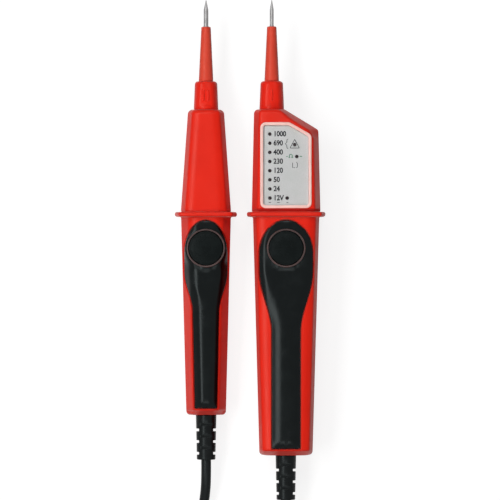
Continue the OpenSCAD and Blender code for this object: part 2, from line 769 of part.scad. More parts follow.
// Strain relief: a slotted sleeve held by the tail wall, in line with the lead
relief_neck_d = 8.4;
relief_flange_d = 11.2;
relief_flange_t = 2;
relief_bore_d = lead_d + 2 * run_gap;
relief_edge = 0.4;
first_slot = 7.9;
slot_core_front = 8.2;
slots_long = floor((relief_len - first_slot - slot_w / 2) / slot_pitch);
module slot_pair(z, core) {
    for (side = [-1, 1])
        translate([side * (core / 2 + relief_root_d / 2), 0, z])
            cube([relief_root_d, 2 * relief_root_d, slot_w], center = true);
}
module strain_relief(h) {
    color([0.08, 0.08, 0.09])
    toward_lead(h, -grip_len[h]) difference() {
        rotate_extrude() polygon([
            [0, -wall - relief_flange_t - seat_gap],
            [relief_flange_d / 2, -wall - relief_flange_t - seat_gap],
            [relief_flange_d / 2, -wall - seat_gap],
            [relief_neck_d / 2, -wall - seat_gap],
            [relief_neck_d / 2, seat_gap],
            [relief_root_d / 2, seat_gap],
            [relief_end_d / 2, relief_len - relief_edge],
            [relief_end_d / 2 - relief_edge, relief_len],
            [0, relief_len]
        ]);
        translate([0, 0, -wall - relief_flange_t - overrun])
            cylinder(d = relief_bore_d, h = wall + relief_flange_t + relief_len + 2 * overrun);
        for (i = [0:slots_long]) {
            slot_pair(first_slot + i * slot_pitch, slot_core_w);
            rotate([0, 0, 90]) slot_pair(first_slot + (i - 0.5) * slot_pitch, slot_core_front);
        }
    }
}
crimp_d = 8;
crimp_len = 4;
lead_bare = 2;
module lead_crimp(h) {
    color([0.7, 0.7, 0.72])
    toward_lead(h, -grip_len[h] + wall + relief_flange_t + 2 * seat_gap + crimp_len) difference() {
        cylinder(d = crimp_d, h = crimp_len);
        translate([0, 0, -overrun]) cylinder(d = lead_d + run_gap, h = crimp_len + 2 * overrun);
    }
}
module lead_end(h) {
    inside = wall + relief_flange_t + 2 * seat_gap + crimp_len + lead_bare;
    color([0.07, 0.07, 0.08])
    toward_lead(h, -grip_len[h] + inside) cylinder(d = lead_d, h = inside + relief_len);
}

module handle_holes(h) {
    toward_pin(h, head_len[h] - wall - overrun)
        cylinder(d = spigot_d + 2 * seat_gap, h = wall + 2 * overrun);
    toward_lead(h, -grip_len[h] + wall + overrun)
        cylinder(d = relief_neck_d + 2 * seat_gap, h = wall + 2 * overrun);
}
module front_shell(h) {
    difference() {
        union() {
            difference() {
                front_half(h);
                front_cavity(h);
                slab(h, 1, inlay_outline(h, seat_gap), inlay_depth, -overrun);
            }
            button_guide(h);
            front_bosses(h);
        }
        button_bore(h);
        pilot_holes(h);
        handle_holes(h);
    }
}
module rear_shell(h) {
    difference() {
        union() {
            difference() {
                rear_half(h);
                rear_cavity(h);
            }
            rear_bosses(h);
            board_ribs(h);
        }
        screw_holes(h);
        handle_holes(h);
    }
}

// Window: surround, clear pane and scale plate lie in one seat, parallel to the head's front face
face_tilt = atan((head_h[DISPLAY] - head_top_h[DISPLAY]) / 2 / head_len[DISPLAY]);
rim_proud = 0.3;
pane_sunk = 0.2;
seat_depth = pane_sunk + window_t + plate_t;
ledge_w = 1.6;
pane_gap = 0.05;
module on_face() {
    translate([0, 0, top_z(DISPLAY, 0)]) rotate([-face_tilt, 0, 0]) children();
}
function corner_arc(a, b, c, r, steps) =
    let (
        u = unit(a - b),
        v = unit(c - b),
        half = acos(clamp(u * v, -1, 1)) / 2,
        centre = b + unit(u + v) * r / sin(half),
        start = b + u * r / tan(half) - centre,
        stop = b + v * r / tan(half) - centre,
        sweep = 180 - 2 * half,
        way = cross(start, stop) > 0 ? 1 : -1
    )
    [for (i = [0:steps]) let (t = way * sweep * i / steps)
        centre + [start[0] * cos(t) - start[1] * sin(t), start[0] * sin(t) + start[1] * cos(t)]];
function rounded_outline(corners, r, steps) = [
    for (i = [0:len(corners) - 1])
        each corner_arc(corners[(i + len(corners) - 1) % len(corners)], corners[i],
            corners[(i + 1) % len(corners)], r, steps)
];
// The window's outline, drawn in by inset all round; the cut corner keeps its distance too
function window_outline(inset) =
    let (
        left = inset - window_left,
        right = window_right - inset,
        low = window_low + inset,
        high = window_low + window_len - inset,
        slant = norm([window_cut_w, window_cut_h]),
        shift_x = inset * (slant - window_cut_h) / window_cut_w,
        shift_y = inset * (slant - window_cut_w) / window_cut_h
    )
    rounded_outline([
        [left, low],
        [right, low],
        [right, window_low + window_len - window_cut_h - inset - shift_x + inset],
        [window_right - window_cut_w - shift_y, high],
        [left, high]
    ], max(window_round - inset, least_flat), edge_steps);
module window_prism(inset, low, high) {
    on_face() translate([0, 0, low]) linear_extrude(high - low) polygon(window_outline(inset));
}
module window_frame() {
    color([0.93, 0.86, 0.85])
    difference() {
        window_prism(seat_gap, -seat_depth, rim_proud);
        window_prism(window_rim, -seat_depth - overrun, rim_proud + overrun);
    }
}
module window_pane() {
    color([0.9, 0.95, 0.95, 0.4])
    window_prism(window_rim + pane_gap, -pane_sunk - window_t, -pane_sunk);
}
// Lamps: a column beside the scale and three more, each through a hole in the plate
row_high = 41.8;
column_x = -8.45;
lone_lamps = [[0.5, row_high - (scale_rows - 1) * row_pitch], [4.4, 36.3], [5.5, 30.1]];
lamp_places = concat([for (i = [0:scale_rows - 1]) [column_x, row_high - i * row_pitch]], lone_lamps);
module at_lamps() {
    for (p = lamp_places) translate(p) children();
}
module scale_plate() {
    color([0.75, 0.75, 0.74])
    difference() {
        window_prism(window_rim + pane_gap, -seat_depth, -seat_depth + plate_t - pane_gap);
        on_face() at_lamps() cylinder(d = lamp_d + 2 * run_gap, h = 2 * seat_depth, center = true);
    }
}
holder_t = 3.6;
holder_flange_t = 1.4;
holder_gap = 0.2;
lamp_edge = 0.2;
lamp_board_t = 1.2;
holder_low = -seat_depth - holder_t;
module lamp_holder() {
    color([0.14, 0.14, 0.15])
    difference() {
        union() {
            window_prism(window_rim + ledge_w + holder_gap, holder_low, -seat_depth - pane_gap);
            window_prism(window_rim + holder_gap, holder_low, holder_low + holder_flange_t);
        }
        on_face() at_lamps() translate([0, 0, holder_low - overrun])
            cylinder(d = lamp_d + 2 * run_gap, h = holder_t + 2 * overrun);
    }
}
module lamps() {
    color([0.75, 0.12, 0.1])
    on_face() at_lamps() translate([0, 0, holder_low]) {
        cylinder(d = lamp_d, h = holder_t + plate_t / 2);
        cylinder(d = lamp_d - lamp_edge, h = holder_t + plate_t - 2 * pane_gap);
    }
}
module lamp_board() {
    color([0.12, 0.38, 0.2])
    window_prism(window_rim + holder_gap, holder_low - lamp_board_t, holder_low);
}

// Inside the display handle
connector_w = 15;
connector_d = 2.5;
connector_y = 10;
module board_connector() {
    drop = (connector_y + connector_d) * tan(face_tilt);
    low = top_z(DISPLAY, 0) + (holder_low - lamp_board_t) / cos(face_tilt) - drop;
    color([0.1, 0.1, 0.1])
    translate([-connector_w / 2, connector_y, board_top[DISPLAY]])
        cube([connector_w, connector_d, low - board_top[DISPLAY]]);
}
chip_w = 10;
chip_t = 1.4;
chip_y = 18;
module controller_chip() {
    color([0.06, 0.06, 0.07])
    translate([-chip_w / 2, chip_y, board_top[DISPLAY]]) cube([chip_w, chip_w, chip_t]);
}
buzzer_d = 12;
buzzer_t = 5.5;
buzzer_y = 24;
module buzzer() {
    color([0.08, 0.08, 0.09])
    translate([buzzer_d / 2, buzzer_y, board_low[DISPLAY] - buzzer_t]) difference() {
        cylinder(d = buzzer_d, h = buzzer_t);
        translate([0, 0, -overrun]) cylinder(d = buzzer_d / 6, h = 2 * overrun);
    }
}
resistor_w = 6.4;
resistor_len = [25, 22];
resistor_high = [3, 18];
module load_resistor(h) {
    color([0.9, 0.88, 0.83])
    translate([-resistor_w / 2, resistor_high[h] - resistor_len[h], board_low[h] - resistor_w])
        cube([resistor_w, resistor_len[h], resistor_w]);
}
thermistor_d = 9;
thermistor_t = 3.5;
thermistor_y = -32;
module thermistor() {
    color([0.2, 0.3, 0.55])
    translate([0, thermistor_y, board_low[SECOND] - thermistor_d / 2]) rotate([90, 0, 0])
        cylinder(d = thermistor_d, h = thermistor_t);
}

// Vibration motor on the board, with its eccentric weight past the board's end
motor_d = 6;
motor_len = 11;
motor_shaft_d = 1;
motor_shaft_len = 7;
motor_foot_w = 5;
motor_foot_h = 0.8;
weight_d = 5.6;
weight_len = 4;
weight_bore_gap = 0.03;
motor_past = 2;
motor_low_y = board_low_y[DISPLAY] - motor_past;
motor_z = board_top[DISPLAY] + motor_foot_h + motor_d / 2;
weight_gap = 2.2;
module motor_axis(y) {
    translate([0, y, motor_z]) rotate([90, 0, 0]) children();
}
module vibration_motor() {
    color([0.75, 0.76, 0.78]) union() {
        motor_axis(motor_low_y + motor_len) cylinder(d = motor_d, h = motor_len);
        motor_axis(motor_low_y + overrun) cylinder(d = motor_shaft_d, h = motor_shaft_len + overrun);
        translate([-motor_foot_w / 2, motor_low_y, board_top[DISPLAY]])
            cube([motor_foot_w, motor_len, motor_foot_h + motor_d / 4]);
    }
}
module motor_weight() {
    color([0.5, 0.45, 0.35])
    motor_axis(motor_low_y - weight_gap) difference() {
        intersection() {
            cylinder(d = weight_d, h = weight_len);
            translate([-weight_d, -motor_shaft_d, 0]) cube([2 * weight_d, weight_d, weight_len]);
        }
        translate([0, 0, -overrun])
            cylinder(d = motor_shaft_d + 2 * weight_bore_gap, h = weight_len + 2 * overrun);
    }
}

// Battery bay in the display handle's back: two cells side by side between two walls, under a cover
cell_d = 10.5;
cell_pip_d = 3.8;
cell_gap = 0.2;
contact_w = 8;
bay_wall_t = 1.5;
bay_half_w = 11.2;
cover_t = 2;
cover_gap = 0.2;
cell_z = bottom_z(DISPLAY, bay_high) + cover_t + cell_d / 2 + 3 * seat_gap;
cell_x = (cell_d + cell_gap) / 2;
cover_tail = 8.4;
cover_screw_up = 4.2;
cover_screw_y = bay_low - cover_tail + cover_screw_up;
cover_boss_d = 6;
cover_screw_len = 7;
bay_wall_w = 16;
bay_wall_top = cell_z + cell_d / 3;
module bay_opening(gap, deep, shallow) {
    slab(DISPLAY, -1, [
        for (y = [bay_low - cover_tail - gap, bay_low, bay_high + gap])
            [y, bay_half_w - cover_gap + gap]
    ], deep, shallow);
}
module battery_cover() {
    color([0.86, 0.15, 0.12])
    difference() {
        bay_opening(0, cover_t, 0);
        translate([0, cover_screw_y, -overrun]) {
            cylinder(d = screw_d + 2 * run_gap, h = 2 * cover_t + 2 * overrun);
            cylinder(d = screw_head_d + 2 * seat_gap, h = screw_head_t / 2 + overrun + bottom_z(DISPLAY, cover_screw_y));
        }
    }
}
module cover_screw() {
    color([0.7, 0.7, 0.72])
    translate([0, cover_screw_y, bottom_z(DISPLAY, cover_screw_y) + screw_head_t / 2]) {
        cylinder(d = screw_d, h = cover_screw_len);
        translate([0, 0, -screw_head_t / 2]) cylinder(d = screw_head_d, h = screw_head_t / 2);
    }
}
module bay_walls() {
    for (y = [bay_high, bay_low - bay_wall_t])
        translate([-bay_wall_w / 2, y, bottom_z(DISPLAY, y) + cover_t + cover_gap])
            cube([bay_wall_w, bay_wall_t, bay_wall_top - bottom_z(DISPLAY, y) - cover_t - cover_gap]);
}
module bay_wall_webs() {
    for (y = [bay_high, bay_low - bay_wall_t], side = [-1, 1])
        translate([side * half_w(DISPLAY, y) - (side > 0 ? 1 : 0) * (half_w(DISPLAY, y) - bay_wall_w / 2) ,
            y, bay_wall_top - bay_wall_t])
            cube([half_w(DISPLAY, y) - bay_wall_w / 2 - wall / 2, bay_wall_t, bay_wall_t]);
}
module cells() {
    color([0.3, 0.32, 0.35])
    for (side = [-1, 1])
        translate([side * cell_x, side > 0 ? bay_low + contact_t + seat_gap : bay_high - contact_t - seat_gap, cell_z])
            rotate([side > 0 ? -90 : 90, 0, 0]) {
                cylinder(d = cell_d, h = cell_len);
                cylinder(d = cell_pip_d, h = cell_len + cell_pip_t);
            }
}
module cell_contacts() {
    color([0.75, 0.75, 0.77])
    for (y = [bay_high - contact_t, bay_low], side = [-1, 1])
        translate([side * cell_x - contact_w / 2, y, cell_z - contact_w / 2])
            cube([contact_w, contact_t, contact_w]);
}

// Lead: it leaves each relief straight, comes down to the table and is put away in a coil of two layers.
// The coil turns inwards, climbs in the half turn where it reverses, and turns outwards on top.
coil_x = -2;
coil_y = -186;
coil_outer_r = 33;
coil_pitch = 5.7;
coil_rise = 5.7;
coil_turns = 2.5;
coil_sides = 6;
coil_steps = 24;
run_sides = 8;
tie_t = 0.7;
tie_w = 8;
tie_gap = 0.3;
coil_low_z = tie_t + tie_gap / 2 + lead_d / 2;
coil_inner_r = coil_outer_r - coil_pitch * coil_turns;
function climb(share) = (1 - cos(180 * share)) / 2;
// Radius and height after so many turns, counted clockwise from +X
function coil_r(t) = t <= coil_turns ? coil_outer_r - coil_pitch * t
    : t <= coil_turns + 0.25 ? coil_inner_r - coil_pitch * (t - coil_turns)
    : coil_inner_r + coil_pitch * (t - coil_turns - 0.5);
function coil_z(t) = coil_low_z + coil_rise * climb(clamp((t - coil_turns) / 0.5, 0, 1));
function coil_point(t) = [coil_x + coil_r(t) * cos(-360 * t), coil_y + coil_r(t) * sin(-360 * t), coil_z(t)];
coil_total = 2 * coil_turns + 0.5;
coil_start = [coil_x + coil_outer_r, coil_y + lead_d, coil_low_z];
coil_stop = [coil_x - coil_outer_r, coil_y + lead_d, coil_low_z + coil_rise];
coil_points = concat(
    [coil_start],
    [for (i = [0:coil_total * coil_steps]) coil_point(i / coil_steps)],
    [coil_stop]
);
coil_headings = [
    for (i = [0:len(coil_points) - 1])
        i == 0 ? [0, -1, 0] : i == len(coil_points) - 1 ? [0, 1, 0] : heading(coil_points, i)
];
coil_least_gap = min([
    for (i = [0:len(coil_points) - 1], j = [i + coil_steps / 2:1:len(coil_points) - 1])
        norm(coil_points[i] - coil_points[j])
]) - lead_d;
echo(coil_least_gap = coil_least_gap);
module lead_coil() {
    color([0.07, 0.07, 0.08])
    tube(coil_points, coil_headings, lead_d, coil_sides);
}
display_end = [handle_x[DISPLAY], guard_y + end_y[DISPLAY], tail_z[DISPLAY]];
second_end = [handle_x[SECOND], guard_y + end_y[SECOND], tail_z[SECOND]];
run_display_points = concat([display_end], [
    [18.7, -137, 13.8], [19, -144, 11.6], [20.5, -151, 8.2], [23, -158, 5.2], [26, -165, 3.7], [29, -172, 3.45]
], [coil_start]);
run_second_points = concat([second_end], [
    [-22.9, -116, 10.8], [-23.1, -123, 9], [-23.8, -130, 6.2], [-25.2, -138, 3.6], [-27.2, -146, 2.8],
    [-29.4, -154, 3.2], [-31.6, -162, 5], [-33.4, -170, 7.4]
], [coil_stop]);
function run_headings(points) = [
    for (i = [0:len(points) - 1])
        i == 0 || i == len(points) - 1 ? [0, -1, 0] : heading(points, i)
];
module lead_run(points) {
    color([0.07, 0.07, 0.08])
    tube(points, run_headings(points), lead_d, run_sides);
}
module lead_tie() {
    inner = coil_inner_r - coil_pitch / 4 - lead_d / 2 - tie_gap;
    outer = coil_outer_r + lead_d / 2 + tie_gap;
    low = coil_low_z - lead_d / 2 - tie_gap / 2;
    high = coil_low_z + coil_rise + lead_d / 2 + tie_gap;
    corner = lead_d / 2;
    color([0.12, 0.12, 0.13])
    translate([coil_x + tie_w / 2, coil_y, 0]) rotate([90, 0, -90]) linear_extrude(tie_w) difference() {
        polygon(rounded_outline([
            [inner - tie_t, low - tie_t], [outer + tie_t, low - tie_t],
            [outer + tie_t, high + tie_t], [inner - tie_t, high + tie_t]
        ], corner + tie_t, edge_steps));
        polygon(rounded_outline([[inner, low], [outer, low], [outer, high], [inner, high]], corner, edge_steps));
    }
}

module place(h) {
    translate([handle_x[h], guard_y, 0]) children();
}

module display_front_shell() {
    color([0.88, 0.17, 0.13])
    place(DISPLAY) difference() {
        front_shell(DISPLAY);
        window_prism(0, -seat_depth, 2 * seat_depth);
        window_prism(window_rim + ledge_w, -2 * wall, 0);
    }
}
module display_rear_shell() {
    color([0.85, 0.16, 0.12])
    place(DISPLAY) difference() {
        union() {
            rear_shell(DISPLAY);
            bay_walls();
            bay_wall_webs();
            translate([0, cover_screw_y, bottom_z(DISPLAY, cover_screw_y) + cover_t + cover_gap / 2])
                cylinder(d = cover_boss_d, h = cover_screw_len);
        }
        bay_opening(cover_gap, wall + cover_gap, -overrun);
        translate([0, cover_screw_y, 0]) cylinder(d = screw_d + 2 * run_gap, h = cover_screw_len + 2 * cover_t);
    }
}
module second_front_shell() {
    color([0.88, 0.17, 0.13]) place(SECOND) front_shell(SECOND);
}
module second_rear_shell() {
    color([0.85, 0.16, 0.12]) place(SECOND) rear_shell(SECOND);
}

display_front_shell();
display_rear_shell();
place(DISPLAY) grip_inlay(DISPLAY);  // display_grip_inlay
place(DISPLAY) window_frame();  // display_window_frame
place(DISPLAY) window_pane();  // display_window
place(DISPLAY) scale_plate();  // display_scale_plate
place(DISPLAY) lamp_holder();  // display_lamp_holder
place(DISPLAY) lamps();  // display_lamps
place(DISPLAY) lamp_board();  // display_lamp_board
place(DISPLAY) board_connector();  // display_board_connector
place(DISPLAY) board(DISPLAY);  // display_circuit_board
place(DISPLAY) controller_chip();  // display_controller_chip
place(DISPLAY) load_resistor(DISPLAY);  // display_load_resistor
place(DISPLAY) buzzer();  // display_buzzer
place(DISPLAY) push_switch(DISPLAY);  // display_push_switch
place(DISPLAY) switch_plunger(DISPLAY);  // display_switch_plunger
place(DISPLAY) button(DISPLAY);  // display_button
place(DISPLAY) button_ring(DISPLAY);  // display_button_ring
place(DISPLAY) button_spring(DISPLAY);  // display_button_spring
place(DISPLAY) vibration_motor();  // display_vibration_motor
place(DISPLAY) motor_weight();  // display_motor_weight
place(DISPLAY) cells();  // display_batteries
place(DISPLAY) cell_contacts();  // display_battery_contacts
place(DISPLAY) battery_cover();  // display_battery_cover
place(DISPLAY) cover_screw();  // display_cover_screw
place(DISPLAY) case_screws(DISPLAY);  // display_case_screws
place(DISPLAY) nose_collar(DISPLAY);  // display_nose_collar
place(DISPLAY) nose_seal(DISPLAY);  // display_nose_seal
place(DISPLAY) pin_sleeve(DISPLAY);  // display_pin_sleeve
place(DISPLAY) test_pin(DISPLAY);  // display_test_pin
place(DISPLAY) pin_conductor(DISPLAY);  // display_pin_conductor
place(DISPLAY) strain_relief(DISPLAY);  // display_strain_relief
place(DISPLAY) lead_crimp(DISPLAY);  // display_lead_crimp
place(DISPLAY) lead_end(DISPLAY);  // display_lead_end
second_front_shell();
second_rear_shell();
place(SECOND) grip_inlay(SECOND);  // second_grip_inlay
place(SECOND) board(SECOND);  // second_circuit_board
place(SECOND) load_resistor(SECOND);  // second_load_resistor
place(SECOND) thermistor();  // second_thermistor
place(SECOND) push_switch(SECOND);  // second_push_switch
place(SECOND) switch_plunger(SECOND);  // second_switch_plunger
place(SECOND) button(SECOND);  // second_button
place(SECOND) button_ring(SECOND);  // second_button_ring
place(SECOND) button_spring(SECOND);  // second_button_spring
place(SECOND) case_screws(SECOND);  // second_case_screws
place(SECOND) nose_collar(SECOND);  // second_nose_collar
place(SECOND) nose_seal(SECOND);  // second_nose_seal
place(SECOND) pin_sleeve(SECOND);  // second_pin_sleeve
place(SECOND) test_pin(SECOND);  // second_test_pin
place(SECOND) pin_conductor(SECOND);  // second_pin_conductor
place(SECOND) strain_relief(SECOND);  // second_strain_relief
place(SECOND) lead_crimp(SECOND);  // second_lead_crimp
place(SECOND) lead_end(SECOND);  // second_lead_end
lead_run(run_display_points);  // lead_run_display
lead_run(run_second_points);  // lead_run_second
lead_coil();
lead_tie();
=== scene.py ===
# %% [markdown]
# # A two-pole voltage tester
#
# The tester has two handles joined by one lead. The display handle carries a window with a lamp scale, and
# the second handle is plain. Both have a steel test pin in a red sleeve, a finger guard, a round
# push-button in a soft black grip inlay, and a slotted strain relief. They lie on their backs, as in the
# photograph.
#
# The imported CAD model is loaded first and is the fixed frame. The pieces could be remodelled freely by eye,
# but then they would no longer fit the CAD. So everything that shows gets either a smoother surface worked
# out with numpy from the same sizes, or a node material on the CAD piece. Lengths below are millimetres.

import json
import math
from types import SimpleNamespace

import bmesh
import bpy
import numpy as np
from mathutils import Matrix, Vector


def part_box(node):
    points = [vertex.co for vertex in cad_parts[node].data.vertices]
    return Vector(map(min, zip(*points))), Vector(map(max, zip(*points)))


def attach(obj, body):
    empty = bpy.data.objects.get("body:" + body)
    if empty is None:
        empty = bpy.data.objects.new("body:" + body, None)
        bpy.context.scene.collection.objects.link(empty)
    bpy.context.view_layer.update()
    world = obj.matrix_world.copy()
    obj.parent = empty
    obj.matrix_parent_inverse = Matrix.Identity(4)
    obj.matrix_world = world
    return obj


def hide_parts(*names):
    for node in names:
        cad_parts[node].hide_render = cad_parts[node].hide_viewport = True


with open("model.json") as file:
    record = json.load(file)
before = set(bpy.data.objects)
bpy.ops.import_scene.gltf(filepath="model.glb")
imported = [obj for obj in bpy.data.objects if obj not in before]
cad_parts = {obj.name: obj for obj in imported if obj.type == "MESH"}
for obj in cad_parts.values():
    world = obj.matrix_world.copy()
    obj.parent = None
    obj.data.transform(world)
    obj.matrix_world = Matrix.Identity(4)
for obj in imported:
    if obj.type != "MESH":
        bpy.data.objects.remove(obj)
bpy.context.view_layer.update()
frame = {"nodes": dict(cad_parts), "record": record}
MM = 0.001

# %% [markdown]
# The photograph is a catalogue picture, taken straight down from far away, with almost no perspective. An
# orthographic camera would show none at all, and a near one would bend the handles apart. So the camera is
# a long lens, high over the table. Its height makes one pixel of the 500 x 500 picture 0.52 mm at the
# height of the display handle's axis, so that places in the photograph turn into millimetres by one number.

# %% Camera
PIXEL, PIXELS = 0.52, 500
LENS, SENSOR = 300.0, 36.0
CLIP_NEAR, CLIP_FAR = 0.1, 20.0
axis_height = 20.0
camera_data = bpy.data.cameras.new("camera")
camera_data.lens, camera_data.sensor_width = LENS, SENSOR
camera_data.clip_start, camera_data.clip_end = CLIP_NEAR, CLIP_FAR
camera = bpy.data.objects.new("camera", camera_data)
camera.location = (0.0, 0.0, (axis_height + PIXELS * PIXEL * LENS / SENSOR) * MM)
bpy.context.collection.objects.link(camera)
bpy.context.scene.camera = camera
print("camera height in metres:", round(camera.location.z, 4))

# %% [markdown]
# The shapes below are blended from a few formulas: a straight blend, an easing on half a cosine wave, and
# the larger of two heights with a rounded corner. Blender's modifiers have blends of their own, but then
# the sizes hide in a stack. As functions of whole arrays they stay short, and each surface can say in one
# line what it is.


# %% Small formulas
def unit(v):
    """v divided by its length."""
    return v / np.linalg.norm(v, axis=-1, keepdims=True)


def mix(a, b, share):
    """A straight blend: a where share is 0 and b where it is 1."""
    return a + (b - a) * share


def ease(t):
    """0 below 0, 1 above 1, and half a cosine wave between."""
    return (1 - np.cos(np.pi * np.clip(t, 0, 1))) / 2


def smooth_max(a, b, soft):
    """The larger of a and b, with its corner rounded over about soft."""
    return (a + b + np.sqrt((a - b) ** 2 + soft**2)) / 2


print("ease at a quarter, a half and three quarters:", ease(np.array([0.25, 0.5, 0.75])).round(3))

# %% [markdown]
# A moulded part is a smooth skin with a few crisp edges. It could be built from Blender's primitives, and
# bent by hand. Here a surface is a grid of points, worked out as one array from two parameters. One helper
# joins neighbouring points by quads. Another turns arrays of points and faces into a mesh, merges the
# points that meet at poles and seams, and turns all faces outwards. Faces that meet at more than 32 degrees
# keep a hard edge, and the others are shaded smooth.

# %% Mesh helpers
WELD = 1e-6
HARD_EDGE = math.radians(32)


def grid_quads(rows, cols, close_rows=False, close_cols=False):
    """The four corner numbers of every quad between neighbouring rows and columns of points."""
    row_count, col_count = rows - (not close_rows), cols - (not close_cols)
    r, c = np.meshgrid(np.arange(row_count), np.arange(col_count), indexing="ij")
    r2, c2 = (r + 1) % rows, (c + 1) % cols
    return np.stack([r * cols + c, r * cols + c2, r2 * cols + c2, r2 * cols + c], -1).reshape(-1, 4)


def shade(mesh):
    """Smooth shading, with hard edges where the surface turns sharply."""
    mesh.polygons.foreach_set("use_smooth", np.ones(len(mesh.polygons), bool))
    mesh.set_sharp_from_angle(angle=HARD_EDGE)


def solid(name, points, faces, place=(0, 0, 0)):
    """An object from points in millimetres, moved by place, and faces given as lists of point numbers."""
    mesh = bpy.data.meshes.new(name)
    mesh.from_pydata(((np.reshape(points, (-1, 3)) + place) * MM).tolist(), [], faces)
    work = bmesh.new()
    work.from_mesh(mesh)
    bmesh.ops.remove_doubles(work, verts=work.verts, dist=WELD)
    bmesh.ops.recalc_face_normals(work, faces=work.faces)
    work.to_mesh(mesh)
    work.free()
    shade(mesh)
    piece = bpy.data.objects.new(name, mesh)
    bpy.context.collection.objects.link(piece)
    return piece


def loft(name, rings, place=(0, 0, 0)):
    """Closed rings of points in order, joined by quads, with a flat face over the first and the last ring."""
    rows, cols, _ = rings.shape
    ends = [list(range(cols)), list(range((rows - 1) * cols, rows * cols))]
    return solid(name, rings, grid_quads(rows, cols, close_cols=True).tolist() + ends, place)


def frame_loop(name, rings, place=(0, 0, 0)):
    """Closed rings of points joined to each other, and the last one to the first, as in a picture frame."""
    rows, cols, _ = rings.shape
    return solid(name, rings, grid_quads(rows, cols, True, True).tolist(), place)


print("quads between 3 x 4 points:", len(grid_quads(3, 4)))

# %% [markdown]
# Half of the pieces are turned or moulded round: pins, sleeves, collars, rings, buttons and screws. A
# cylinder with a bevel modifier would give every edge the same radius. Here each is a profile, turned round
# its axis. The profile lists its corners as (radius, height, rounding), so each edge gets the small arc
# that its mould or lathe leaves.

# %% Turned pieces
UP = np.array([[1, 0, 0], [0, 1, 0], [0, 0, 1]])
TO_PIN = np.array([[1, 0, 0], [0, 0, 1], [0, -1, 0]])
TO_LEAD = np.array([[1, 0, 0], [0, 0, -1], [0, 1, 0]])
OVER, THROUGH, FINE = 1.0, 30.0, 96


def soften(corners, steps=5):
    """Rounds each corner (r, z, radius) of an open profile by an arc that touches both of its sides."""
    flat = np.array(corners, float)
    out = [flat[:1, :2]]
    for before, (r, z, radius), after in zip(flat[:-2], flat[1:-1], flat[2:]):
        here = np.array([r, z])
        if radius == 0:
            out.append(here[None])
            continue
        back, ahead = unit(before[:2] - here), unit(after[:2] - here)
        half = math.acos(np.clip(back @ ahead, -1, 1)) / 2
        centre = here + unit(back + ahead) * radius / math.sin(half)
        start, stop = (here + way * radius / math.tan(half) - centre for way in (back, ahead))
        turn, share = math.pi - 2 * half, np.linspace(0, 1, steps + 1)[:, None]
        spokes = np.sin((1 - share) * turn) * start + np.sin(share * turn) * stop
        out.append(centre + spokes / math.sin(turn))
    return np.concatenate(out + [flat[-1:, :2]])


def turned_points(profile, sides):
    """Each profile point (r, z) becomes a ring (r cos a, r sin a, z)."""
    a = np.arange(sides) * 2 * np.pi / sides
    r, z = profile[:, :1], profile[:, 1:]
    return np.stack([r * np.cos(a), r * np.sin(a), z + 0 * a], -1)


def turned(name, profile, place=(0, 0, 0), way=UP, sides=72, hollow=False):
    """A profile turned round its axis, which then points along way. A hollow one closes on itself."""
    points = turned_points(np.asarray(profile, float), sides) @ way.T
    return solid(name, points, grid_quads(len(profile), sides, hollow, True).tolist(), place)


def rod(d, low, high, place=(0, 0, 0), way=UP, sides=48):
    """A plain round bar, for cutting holes and for bosses that don't show."""
    profile = [[0, low], [d / 2, low], [d / 2, high], [0, high]]
    return turned("rod", profile, place, way, sides)


print("points of a rounded corner:", len(soften([(0, 0, 0), (1, 0, 0.2), (1, 1, 0)])) - 2)

# %% [markdown]
# Holes, recesses and bosses are cut into or moulded onto the shells. They could be woven into the grids by
# hand, which makes every grid a special case. Instead a cutter is made as a solid of its own, and Blender's
# Boolean with its manifold solver cuts it out or joins it. The result is kept in the mesh at once, so no
# modifier is left behind.

# %% Cutting and joining
SOLVER = "MANIFOLD"


def carve(piece, *tools, join=False):
    """Cuts each tool's solid out of the piece, or joins it to the piece, and removes the tool."""
    for tool in tools:
        step = piece.modifiers.new("carve", "BOOLEAN")
        step.operation = "UNION" if join else "DIFFERENCE"
        step.solver = SOLVER
        step.object = tool
        old, graph = piece.data, bpy.context.evaluated_depsgraph_get()
        piece.data = bpy.data.meshes.new_from_object(piece.evaluated_get(graph))
        piece.modifiers.clear()
        piece.data.name = piece.name
        bpy.data.meshes.remove(old)
        bpy.data.meshes.remove(tool.data)
    shade(piece.data)
    return piece


print("solids are cut and joined with the solver:", SOLVER)

# %% [markdown]
# The lead comes before all else, because its length and lay have to be right. It is one cable of about a
# metre, which leaves the display handle's strain relief, comes down to the table, is put away in a coil of
# two layers just outside the picture, and goes back into the second handle. A physics run could lay it, but
# its length and coil would come out by luck. So the line is a formula: two runs through chosen points, and
# between them a spiral that winds in, climbs a layer and winds out.

# %% The lead's route
LEAD_D = 5.2
COIL_X, COIL_Y, COIL_R, COIL_PITCH, COIL_RISE, COIL_TURNS = -2.0, -186.0, 33.0, 5.7, 5.7, 2.5
COIL_LOW, CLIMB, COIL_STEPS = 3.45, 0.5, 48
display_route = np.array([
    [18.7, -130.2, 14], [18.7, -137, 13.8], [19, -144, 11.6], [20.5, -151, 8.2], [23, -158, 5.2],
    [26, -165, 3.7], [29, -172, COIL_LOW], [COIL_X + COIL_R, COIL_Y + LEAD_D, COIL_LOW],
])
second_route = np.array([
    [-22.9, -109.4, 11], [-22.9, -116, 10.8], [-23.1, -123, 9], [-23.8, -130, 6.2], [-25.2, -138, 3.6],
    [-27.2, -146, 2.8], [-29.4, -154, 3.2], [-31.6, -162, 5], [-33.4, -170, 7.4],
    [COIL_X - COIL_R, COIL_Y + LEAD_D, COIL_LOW + COIL_RISE],
])


